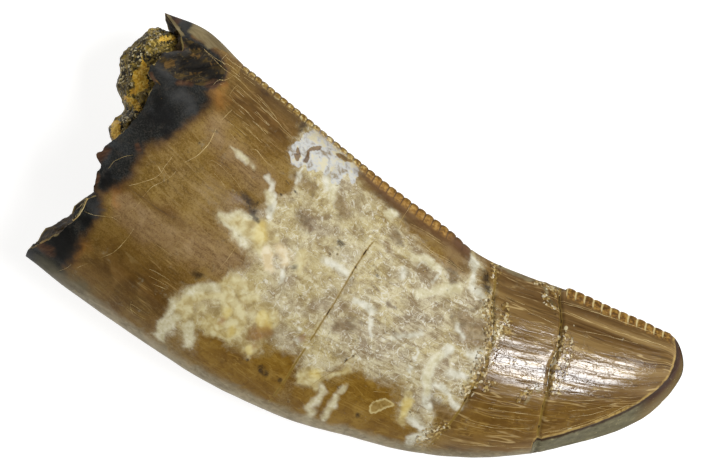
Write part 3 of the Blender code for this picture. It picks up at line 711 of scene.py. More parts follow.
        (0.04, 0.08, 0.8, -3.45), (0.09, 0.2, 1.75, -6), (0.04, 0.08, 2.6, -4.6),
        (0.04, 0.1, -4.75, 2.3, -4.6, 2.22), (0.04, 0.1, -4.3, 2.05, -4.2, 2), (0.06, 0.12, -4.75, 1.68),
        (0.14, 0.35, 4.75, 1.7, 4.9, 1.3, 5, 1.1), (0.06, 0.2, 3.1, 1.62, 3.8, 1.45),
        (0.1, 0.25, 3.2, 2.5, 3.4, 2.3), (0.1, 0.3, -3.1, -1), (0.05, 0.1, -1.9, 0.1),
        (0.09, 0.2, -1.7, 0.7, -1.5, 0.62), (0.05, 0.1, 0, 0.25), (0.05, 0.1, 0.35, -0.05),
        (0.05, 0.1, 5.9, -3.25), (0.12, 0.25, -5, 4.65, -4.95, 4.9), (0.1, 0.25, -7.1, 5.6, -6.9, 5.5),
    ],
    "combed": [                            # fine pale and dark lines
        (0, 1.2, -9.2, 6.2, -4.9, 4.9, -5, 3.2, -6.6, 2.9, -8.4, 3.3, -8.9, 4, -8.6, 5.2),
        (0, 0.8, -9.4, -2.2, -8, -2.4, -7.4, -3.8, -7.6, -5.2, -9.6, -5.4, -9.4, -3.6),
        (0, 0.8, -7.9, 2.4, -6, 1.4, -5.6, 2.2, -6.4, 2.4),
    ],
    "shade": [                             # darker brown: painted shade towards the front edge near the base and near the tip, and in a shallow crease near the base; darker along the rear edge
        (0.1, 0.5, -11.2, -0.3, -10.2, -0.55, -9.2, -0.8, -8.2, -1.05),
        (0, 1, -8.8, 5.7, -5.1, 4.7, -5.2, 3.6, -6.8, 3.8, -8.5, 4.5),
        (0, 1.1, 6, -5.9, 6.3, -2.9, 8.9, -2.7, 12.6, -1, 13.2, -1.1, 9.6, -4.4),
        (0, 1, 3, 2.9, 5, 2.4, 8, 2.4, 8, 1.7, 5.4, 1.7, 3.9, 1.9),
        (0, 2.6, -11.2, -2.4, -8.6, -2.9, -7.4, -3.6, -7.8, -5.6, -12.2, -4.8),
        (0, 1.2, -9, 5.9, -5, 4.9, -2, 3.9, 2.5, 2.9, 2.5, 2.5, -1.9, 3.3, -5.1, 4.4, -8.6, 5.4),
    ],
    "gloss": [                             # polished part near the tip
        (0, 1, 5.9, 0.3, 8.6, 0.5, 9.6, 0.2, 13.5, 0.6, 13.2, -0.6, 11.5, -1.5, 10.2, -2, 8.8, -2.3,
         7.5, -2.3, 5.9, -2),
    ],
    "pale": [                              # single white grains
        (0.1, 0.12, 8.82, 0.72), (0.04, 0.1, 9.1, 0.92), (0.03, 0.1, 10.5, -3.3, 10.62, -3.22),
    ],
    "flake": [                             # a thin flake of crust
        (0, 0.12, 2.57, -4.89, 2.97, -4.93, 2.86, -5.14, 2.57, -5.36, 2.5, -5.57, 2.26, -5.74, 2.07, -5.43,
         2.17, -5.14),
    ],
}
throughBoth = ("belt", "honey", "soot")    # stains that show on the lower side too
steady = {"crust": 0.7, "smudge": 0.4, "pale": 0.3, "gloss": 0.5, "bone": 0.4, "russet": 0.4, "crumb": 0.5,
          "holes": 0.8, "flake": 0.5, "soot": 0.5}        # share of the wandering that a mark's outline takes
wanders = [(0.14, 0.60, 31), (0.08, 0.26, 33), (0.05, 0.12, 35)]        # height, size, seed
wander = sum(height * np.stack([cloud(flat, size, seed), cloud(flat, size, seed + 1)], axis=1)
             for height, size, seed in wanders)
attributes = {}
for label, shapes in marks.items():
    field = cover(plane + wander * steady.get(label, 1.0), shapes)
    attributes[label] = field if label in throughBoth else field * upperMask

# The base flakes off in steps inside the rough upper part of the dark zone.
ledges = cover(plane, [(0, 0.3, -11.9, 5.7, -11, 6.6, -9.9, 6.35, -9, 6, -8.8, 5.4, -9.3, 4.9, -10.4, 4.75,
                        -11.9, 4.9)]) * upperMask
slant = flat @ np.array([[0.35, -1.0, 0], [0.2, 1.7, 0], [0, 0, 1]])        # flakes run towards the spike
terrace = cloud(slant, 0.8, 8) + 0.6 * cloud(slant, 0.35, 9)
relief -= smooth(0.35, 0.7, ledges) * (crown["ledgeDrop"] + crown["ledgeStep"] * np.floor(terrace * 3))
small, large = crown["crumbs"]
relief += smooth(0.3, 0.7, attributes["crumb"]) * (small * cloud(flat, 0.14, 14) + large * cloud(flat, 0.3,
                                                                                                 15))
relief += smooth(0.45, 0.6, attributes["pale"]) * crown["paleRise"]
relief += smooth(0.3, 0.7, attributes["gloss"]) * crown["glossRelief"] * cloud(grain * (3, 1, 1), 0.1, 10)

# The facet turns round the tip, where it is a narrow slope beyond its line.
facetRegion = facetLine + [(15.5, 2.9), (15.5, -6.0), (9.3, -6.0)]
facetAt = np.clip(pathGap(plane, facetLine), 0, 1.5) * np.where(inside(plane, facetRegion), 1, -1)
flat = flat + normals.reshape(-1, 3) * relief[:, None]
tipSlope = np.clip(facetAt, 0, 0.6) * smooth(12.9, 13.5, plane[:, 0]) * upperMask
tipSlope *= smooth(-0.6, 0.6, plane[:, 1])
flat[:, 2] -= crown["facetDrop"] * tipSlope * np.clip((flat[:, 2] - 0.9) / 0.8, 0, 1)
flat[:, 2] = np.maximum(flat[:, 2], 0)

attributes["facet"] = np.where(upperMask > 0, facetAt, -1.0)
attributes["ledges"] = ledges
attributes["rearGap"] = (shareAt * widthAt).ravel()
attributes["frontGap"] = ((1 - shareAt) * widthAt).ravel()
attributes["crest"] = np.repeat(crest, columnCount)
attributes["row"] = np.repeat(rowOf, columnCount)
attributes["upper"] = upperMask
attributes["crackGap"] = np.clip(crackGap, -2, 2)
attributes["crackOpen"] = crackOpen
attributes["along"] = alongAt
attributes["across"] = acrossAt


def ringFaces(rings, columns, first=0):
    faces = []
    for ring in range(rings - 1):
        row = first + ring * columns
        for column in range(columns):
            after = (column + 1) % columns
            faces.append((row + column, row + after, row + columns + after, row + columns + column))
    return faces


def enamelFinish():
    s = Sheet(bpy.data.materials.new("fossil_enamel"))
    place = s.place()
    along, upper = s.value("along"), s.value("upper")
    sway = (s.noise(place, 1.6, 2) - 0.5) * 0.25
    flow = s.vector(along, s.value("across") + sway, upper * 7)      # follows the crown's length
    streak, longer = s.stretch(flow, 0.16, 1, 1), s.stretch(flow, 0.075, 1, 1)
    ragged = (s.noise(place, 0.60, 3, 0.55, 0.6) - 0.5) * 2.2
    fringe = (s.noise(place, 0.16, 3, 0.55, 0.4) - 0.5) * 2.0
    wide = s.noise(place, 2.6, 3, 0.5, 0.5)
    middle = s.noise(place, 0.9, 4, 0.55, 0.8)
    patchy = s.noise(place, 0.32, 4, 0.6, 0.9)
    hue = s.noise(place, 1.5, 3, 0.5, 0.3)
    fine = s.noise(place, 0.12, 3, 0.6)
    grit = s.noise(place, 0.06, 2, 0.6)
    lines = s.noise(streak, 0.13, 3, 0.6, 0.2)
    dashes = s.noise(s.stretch(flow, 0.5, 1, 1), 0.55, 2)
    hair = abs(s.noise(longer, 0.50, 2, 0.45, 0.2) - 0.5)
    hairFine = abs(s.noise(longer, 0.30, 2, 0.45, 0.2) - 0.48)

    def edged(label, wobble=0.3, soft=0.16):
        return (s.value(label) + ragged * wobble + fringe * (wobble * 0.5)).step(0.5 - soft, 0.5 + soft)

    def vein(noise, level, width):         # thin lines where a noise passes a level
        return abs(noise - level).step(width, width * 0.3)

    # body: clouded olive brown with a faint lengthwise grain
    colour = (
        s.ramp(wide, (0.34, 104, 76, 30), (0.47, 122, 95, 43), (0.57, 134, 108, 54), (0.70, 110, 82, 36))
        .coat(edged("moss", 0.2, 0.5) * 0.8, s.ramp(middle, (0.35, 98, 74, 28), (0.6, 122, 96, 42)))
        .coat(middle.step(0.50, 0.68) * 0.25, (146, 122, 78))
        # painted sheen: milkier, greyer brown from the sheen marks
        .coat(edged("haze", 0.25, 0.45) * 0.75, s.ramp(middle, (0.35, 126, 100, 70), (0.65, 150, 126, 94)))
        .coat(lines.step(0.52, 0.68) * 0.26, (158, 132, 84))
        .coat(lines.step(0.47, 0.34) * 0.32, (74, 50, 22))
        .coat(fine.step(0.50, 0.68) * 0.20, (160, 136, 90))
        .coat(fine.step(0.48, 0.32) * 0.26, (76, 54, 24))
        .coat(grit.step(0.52, 0.66) * 0.16, (164, 138, 84))
        .coat(grit.step(0.47, 0.34) * 0.24, (70, 49, 18))
    )
    # towards the tip: browner, with thin wavy lines along the length
    apical = along.step(4.6, 6.2)
    tipTone = s.ramp(s.noise(s.stretch(flow, 0.10, 1, 1), 0.7, 4, 0.55, 0.4), (0.34, 76, 52, 23),
                     (0.50, 111, 85, 47), (0.65, 138, 112, 69))
    colour = colour.coat(apical, tipTone)
    # painted shade from the shade marks, with the darker brown along the rear edge
    shaded = s.ramp(middle, (0.35, 72, 48, 18), (0.65, 102, 73, 34))
    colour = (
        colour
        .coat((s.value("shade") + fringe * 0.1) * 0.85, shaded)
        .coat(hair.step(0.022, 0.008) * dashes.step(0.46, 0.58) * (0.12 + apical * 0.55), (190, 166, 116))
        .coat(hairFine.step(0.020, 0.008) * dashes.step(0.52, 0.42) * (0.08 + apical * 0.30),
              (166, 142, 94))
        .coat(vein(hair, 0.10, 0.018) * dashes.step(0.52, 0.42) * (0.10 + apical * 0.40), (56, 38, 16))
        .coat(vein(hairFine, 0.08, 0.014) * dashes.step(0.46, 0.56) * apical * 0.35, (62, 42, 18))
    )
    honeyTone = (
        s.ramp(middle * 0.6 + s.noise(streak, 0.5, 3, 0.5) * 0.4, (0.36, 98, 68, 18), (0.50, 118, 87, 27),
               (0.62, 138, 108, 44))
        .coat(fine.step(0.48, 0.34, 0.0, 0.35), (82, 56, 14))
        .coat(patchy.step(0.52, 0.64, 0.0, 0.25), (142, 114, 56))
    )
    colour = (
        colour
        .coat(edged("honey", 0.4, 0.3) * (0.9 - apical * 0.5), honeyTone)
        .coat(edged("honey", 0.3, 0.3) * vein(s.noise(streak, 0.5, 3, 0.6, 0.8), 0.5, 0.014) * 0.3,
              (166, 136, 68))
    )
    combed = s.noise(s.stretch(flow, 0.09, 1, 1), 0.10, 2, 0.5, 0.1)
    colour = (
        colour
        .coat(edged("combed", 0.4, 0.3) * combed.step(0.60, 0.68) * 0.30, (176, 148, 96))
        .coat(edged("combed", 0.4, 0.3) * combed.step(0.46, 0.38) * 0.40, (72, 50, 22))
    )

    # belt: soft cream blotches over grey-brown, drawn out lengthwise towards the tip
    knots = s.noise(place, 0.9, 3, 0.5, 0.6)
    blots = s.noise(place, 0.38, 2, 0.5, 0.4)
    smear = s.noise(s.stretch(flow, 0.3, 1, 1), 0.5, 3, 0.55, 0.6)
    streaky = along.step(-2.0, 1.0)
    beltTone = (
        s.ramp(knots, (0.36, 132, 114, 82), (0.45, 156, 143, 108), (0.53, 172, 160, 124),
               (0.62, 192, 182, 146))
        .coat(along.step(0.5, 3.0) * 0.25, (138, 120, 94))
        .coat(hue.step(0.46, 0.62) * 0.45, (184, 168, 106))
        .coat(hue.step(0.48, 0.36) * 0.50, (152, 140, 122))
        .coat(blots.step(0.53, 0.66) * 0.55, (202, 194, 160))
        .coat(blots.step(0.45, 0.34) * 0.50, (132, 113, 80))
        .coat(smear.step(0.52, 0.62) * (0.15 + streaky * 0.45), (126, 109, 82))
        .coat(smear.step(0.46, 0.38) * (0.20 + streaky * 0.35), (200, 192, 160))
        .coat(patchy.step(0.54, 0.64) * 0.35, (208, 200, 170))
        .coat(patchy.step(0.43, 0.35) * 0.35, (122, 98, 62))
        .coat(grit.step(0.52, 0.66, 0.0, 0.20), (212, 204, 178))
        .coat(grit.step(0.47, 0.34, 0.0, 0.24), (112, 92, 60))
    )
    curl = s.noise(place, 0.65, 2, 0.5, 1.6)
    beltTone = (
        beltTone
        .coat(vein(curl, 0.52, 0.026) * patchy.step(0.43, 0.52) * (0.60 + streaky * 0.20), (216, 213, 198))
        .coat(vein(curl, 0.47, 0.016) * patchy.step(0.54, 0.46) * 0.50, (118, 92, 56))
        .coat(vein(blots, 0.50, 0.030) * middle.step(0.50, 0.60) * 0.40, (214, 208, 184))
        .coat(lines.step(0.54, 0.64) * (0.10 + streaky * 0.30), (208, 200, 172))
        .coat(lines.step(0.45, 0.36) * (0.10 + streaky * 0.30), (120, 102, 74))
    )
    colour = (
        colour
        .coat(edged("belt", 0.45, 0.40), beltTone)
        .coat(edged("yolk", 0.35, 0.38) * knots.step(0.36, 0.54, 0.50, 0.88),
              s.ramp(blots * 0.6 + knots * 0.4, (0.38, 158, 139, 86), (0.48, 182, 166, 115),
                     (0.60, 204, 195, 152)))
        .coat(edged("butter", 0.25, 0.42) * 0.75, s.ramp(blots, (0.4, 196, 174, 98), (0.6, 212, 198, 138)))
        .coat(edged("umber", 0.45, 0.35) * 0.68,
              s.ramp(smear * 0.6 + patchy * 0.4, (0.38, 66, 46, 24), (0.48, 94, 70, 40),
                     (0.62, 136, 113, 78)))
    )
    milkTone = s.ramp(blots * 0.6 + knots * 0.4, (0.38, 178, 174, 154), (0.48, 200, 198, 180),
                      (0.58, 217, 216, 202))
    colour = colour.coat(edged("milk", 0.30, 0.40) * patchy.step(0.30, 0.48, 0.60, 0.92), milkTone)
    creamTone = s.ramp(blots * 0.6 + fine * 0.4, (0.38, 184, 175, 138), (0.52, 203, 197, 166),
                       (0.62, 216, 212, 188))
    colour = colour.coat(edged("cream", 0.16, 0.40) * 0.88, creamTone)
    crustTone = s.ramp(blots * 0.5 + patchy * 0.5, (0.38, 140, 128, 108), (0.44, 170, 168, 162),
                       (0.51, 192, 195, 197), (0.58, 206, 200, 174))
    colour = (
        colour
        .coat(edged("crust", 0.30, 0.14) * knots.step(0.36, 0.46, 0.70, 0.95), crustTone)
        .coat(edged("holes", 0.20, 0.18) * 0.85, s.ramp(patchy, (0.4, 84, 58, 30), (0.6, 120, 92, 50)))
        .coat(edged("blush", 0.35, 0.40) * 0.9, s.ramp(blots, (0.4, 204, 186, 146), (0.6, 222, 212, 184)))
        .coat(edged("rust", 0.3, 0.4) * 0.6, s.ramp(middle, (0.35, 112, 70, 28), (0.6, 156, 104, 48)))
    )

    # dark zone at the base
    xAt, yAt = (s.node("SeparateXYZ", {}, {0: place}, out=k) for k in (0, 1))
    slanted = s.vector((xAt * 0.80 + yAt * 0.60) * 0.30, yAt * 0.80 - xAt * 0.60)
    flaky = s.noise(slanted, 0.22, 4, 0.65, 0.4)
    soot = s.value("soot") + ragged * 0.14 + fringe * 0.04
    colour = colour.coat(soot.step(0.02, 0.52) * 0.80,
                         s.ramp(middle, (0.35, 60, 40, 26), (0.6, 82, 58, 40)))
    sootTone = (
        s.ramp(s.noise(place, 0.9, 3, 0.5, 0.5), (0.3, 26, 26, 24), (0.5, 36, 37, 36), (0.7, 52, 54, 56))
        .coat(grit.step(0.50, 0.64) * 0.35, (70, 70, 66))
        .coat(patchy.step(0.52, 0.62) * 0.35, (66, 60, 54))
        .coat(grit.step(0.48, 0.34) * 0.50, (14, 13, 10))
    )
    onLedges = s.value("ledges").step(0.4, 0.6)
    sootTone = (
        sootTone
        .coat(onLedges * 0.5, (48, 37, 22))
        .coat(onLedges * flaky.step(0.50, 0.60) * 0.75,
              s.ramp(middle, (0.4, 60, 48, 26), (0.6, 92, 74, 38)))
        .coat(onLedges * flaky.step(0.46, 0.38) * 0.70, (14, 12, 10))
        .coat(onLedges * fine.step(0.58, 0.68) * 0.60, (104, 90, 56))
    )
    colour = (
        colour
        .coat(soot.step(0.30, 0.66), sootTone)
        .coat(edged("char", 0.4, 0.4) * 0.85, (14, 12, 9))
        .coat(edged("slate", 0.4, 0.4) * 0.75, s.ramp(middle, (0.35, 40, 41, 42), (0.6, 66, 66, 66)))
        .coat(edged("tan", 0.25, 0.25) * 0.8, s.ramp(flaky, (0.38, 70, 52, 26), (0.6, 124, 96, 54)))
        .coat(edged("lichen", 0.3, 0.5) * 0.8, s.ramp(middle, (0.35, 62, 59, 42), (0.6, 92, 87, 64)))
        .coat(edged("russet", 0.35, 0.3) * 0.85,
              s.ramp(flaky, (0.35, 46, 31, 22), (0.5, 74, 51, 37), (0.65, 98, 74, 54)))
    )
    boneTone = s.ramp(s.noise(streak, 0.3, 4, 0.6, 0.5), (0.35, 92, 80, 52), (0.50, 122, 110, 80),
                      (0.65, 150, 138, 102))
    colour = colour.coat(edged("bone", 0.3, 0.22) * 0.9, boneTone)

    # cracks: mostly a thin yellow-brown line, dark where they gape
    gap, opening = abs(s.value("crackGap") + fringe * 0.03), s.value("crackOpen")
    broken = opening + ragged * 0.7
    colour = (
        colour
        .coat(gap.step(0.10, 0.03) * broken.step(0.05, 0.50) * 0.40, (160, 132, 70))
        .coat(gap.step(0.050, 0.015) * broken.step(0.05, 0.30) * 0.85, (120, 98, 40))
        .coat(gap.step(0.042, 0.015) * broken.step(0.62, 0.88), (52, 36, 14))
    )
    shards = s.node("TexVoronoi", {"feature": "F1"}, {"Vector": place, "Scale": 1 / 0.105}, out=1)
    chips, tint = (s.node("SeparateColor", {}, {0: shards}, out=k) for k in (0, 1))
    crumbly = (s.value("crumb") + (chips - 0.5) * 0.6 + ragged * 0.4).step(0.40, 0.50)
    crumbTone = s.ramp(tint, (0.05, 70, 48, 20), (0.30, 118, 92, 44), (0.55, 158, 130, 70),
                       (0.78, 192, 170, 112), (0.95, 226, 218, 190))
    colour = (
        colour
        .coat(crumbly * 0.75, s.mix(fine.step(0.52, 0.40) * 0.4, crumbTone, (96, 70, 32)))
        .coat(edged("smudge", 0.4, 0.35) * patchy.step(0.38, 0.52, 0.35, 0.85), (44, 32, 14))
        .coat(edged("pale", 0.12, 0.12) * 0.85, (196, 186, 150))
    )
    flake = s.value("flake")
    colour = (
        colour
        .coat(flake.step(0.5, 0.8) * 0.55, s.ramp(patchy, (0.4, 126, 104, 54), (0.6, 166, 144, 88)))
        .coat(vein(flake, 0.5, 0.40) * patchy.step(0.36, 0.48, 0.4, 0.8), (192, 176, 124))
    )

    # denticles
    rearGap, crestUp, row = s.value("rearGap"), s.value("crest"), s.value("row")
    inRow, tipRow, belt = row.step(0.4, 0.6), row.step(1.4, 1.6), s.value("belt")
    amberRow = along.step(-3.2, -1.4) * (1 - tipRow)
    single = s.noise(s.vector(along * 3.0, 0.0), 1.0, 1)              # no two quite alike
    nib = s.noise(place, 0.15, 2, 0.5)
    tone = s.ramp(nib, (0.38, 104, 76, 26), (0.49, 146, 114, 44), (0.58, 176, 150, 84),
                  (0.64, 214, 200, 150))
    mottled = single * 0.4 + nib * 0.6
    amberTone = (
        s.ramp(mottled, (0.36, 104, 76, 34), (0.48, 148, 108, 44), (0.62, 184, 148, 82))
        .coat(along.step(2.3, 3.0), (96, 66, 40))
    )
    tone = (
        tone
        .coat(amberRow, amberTone)
        .coat(tipRow, s.ramp(mottled, (0.40, 80, 54, 22), (0.50, 122, 86, 34), (0.59, 160, 124, 58)))
    )
    under = (rearGap + fringe * 0.1).step(0.75, 0.30) * inRow * (1 - tipRow * 0.5) * (1 - belt * 0.7)
    colour = colour.coat(under * 0.65, s.mix(amberRow, (74, 52, 22), (92, 62, 36)))
    body = (rearGap + fringe * 0.06 - (amberRow * 0.12 + tipRow * 0.15)).step(0.26, 0.06) * inRow
    colour = (
        colour
        .coat(body * crestUp.step(0.10, 0.6) * 0.85, tone)
        .coat(rearGap.step(0.08, 0.02) * inRow * (1 - tipRow * 0.6) * 0.55, (78, 56, 22))
    )
    between = (rearGap - tipRow * 0.10).step(0.20, 0.06) * inRow
    between = between * (crestUp + rearGap * 0.8).step(0.74, 0.30)
    colour = colour.coat(between * (0.55 - amberRow * 0.20 + tipRow * 0.30),
                         s.mix(tipRow, (70, 48, 18), (200, 182, 130)))

    # painted reflection: a paler grey strip along the front edge, where the crown turns down; darker
    # grey-olive towards the tip
    frontGap = s.value("frontGap") + ragged * 0.12 + (middle - 0.5) * 0.6
    rimMottle = middle * 0.5 + patchy * 0.5
    strip = (frontGap + along.step(2.0, 6.0) * 0.15).step(0.60, 0.25)
    strip = strip * along.step(-13.0, -9.0) * along.step(10.0, 9.2)
    tipwardShare = along.step(2.0, 6.0) * 0.8
    # paler grey of the painted reflection, mottled
    reflectionTone = s.ramp(rimMottle, (0.38, 124, 114, 88), (0.60, 172, 162, 134))
    stripTone = reflectionTone.coat(tipwardShare, s.ramp(rimMottle, (0.38, 88, 78, 50), (0.60, 138, 128, 96)))
    colour = colour.coat(strip * 0.80, stripTone)

    # worn facet near the tip, its pale edge line and the dark line inside it
    facet = s.value("facet")
    facetTone = (
        s.ramp(s.noise(place, 0.45, 4, 0.6), (0.3, 82, 78, 58), (0.6, 112, 107, 82), (0.75, 150, 144, 112))
        .coat(facet.step(0.15, 0.7) * 0.35, (92, 86, 62))
    )
    tipEdge = s.ramp(facet, (0.0, 44, 22, 7), (0.20, 62, 37, 14), (0.34, 92, 73, 42), (0.60, 116, 101, 70))
    facetTone = (
        facetTone
        .coat(along.step(12.6, 13.4), tipEdge)
        .coat(fine.step(0.64, 0.72) * 0.6, (178, 170, 126))
    )
    onFacet = facet.step(-0.02, 0.03)
    colour = colour.coat(onFacet, facetTone)
    rimLine = (facet + fringe * 0.04).step(-0.14, -0.05) * facet.step(0.02, -0.04)
    rimLine = rimLine * patchy.step(0.42, 0.56, 0.2, 1.0)
    colour = (
        colour
        .coat(rimLine * 0.75, (176, 150, 88))
        .coat(facet.step(-0.01, 0.03) * (facet + fringe * 0.05).step(0.16, 0.07) * 0.95, (52, 34, 12))
    )

    # gloss, and relief too fine for the mesh, in millimetres
    glossy = edged("gloss", 0.3, 0.4)
    crackle = s.node("TexVoronoi", {"feature": "DISTANCE_TO_EDGE"}, {"Vector": place, "Scale": 1 / 0.32})
    pits = s.noise(place, 0.20, 4, 0.65, 1.2)
    height = lines * 0.002 + fine * 0.001 + belt * (knots * 0.02 + patchy * 0.01)
    height = height - vein(hair, 0.10, 0.020) * apical * 0.004
    height = height - hairFine.step(0.030, 0.010) * apical * 0.003
    height = height + (crackle.step(0.0, 0.06) * 0.002 + pits.step(0.34, 0.44) * 0.006) * glossy
    height = height + crumbly * chips * 0.07 + s.value("ledges") * flaky * 0.03
    roughness = 0.17 + belt * 0.28 + onFacet * 0.10 + fine * 0.06 + s.value("ledges") * 0.35
    dull = (1 - glossy * (1 - onFacet)) * (0.86 + soot.step(0.3, 0.7).larger(onFacet) * 0.12)
    return s.finish({"IOR": 1.58}, dull, Base_Color=colour, Roughness=roughness, Normal=s.bump(height))


enamel = enamelFinish()
tipIndex = ringCount * columnCount
points = np.vstack([flat, [tip]])
faces = ringFaces(ringCount, columnCount)
last = (ringCount - 1) * columnCount
faces += [(last + c, last + (c + 1) % columnCount, tipIndex) for c in range(columnCount)]
for label, values in attributes.items():
    attributes[label] = np.append(values, values[-1])
attributes["facet"][-1] = 0.3
makePiece("crown_surface", points, faces, attributes, enamel, "tooth_crown")

# Hairline cracks filled with pale mineral

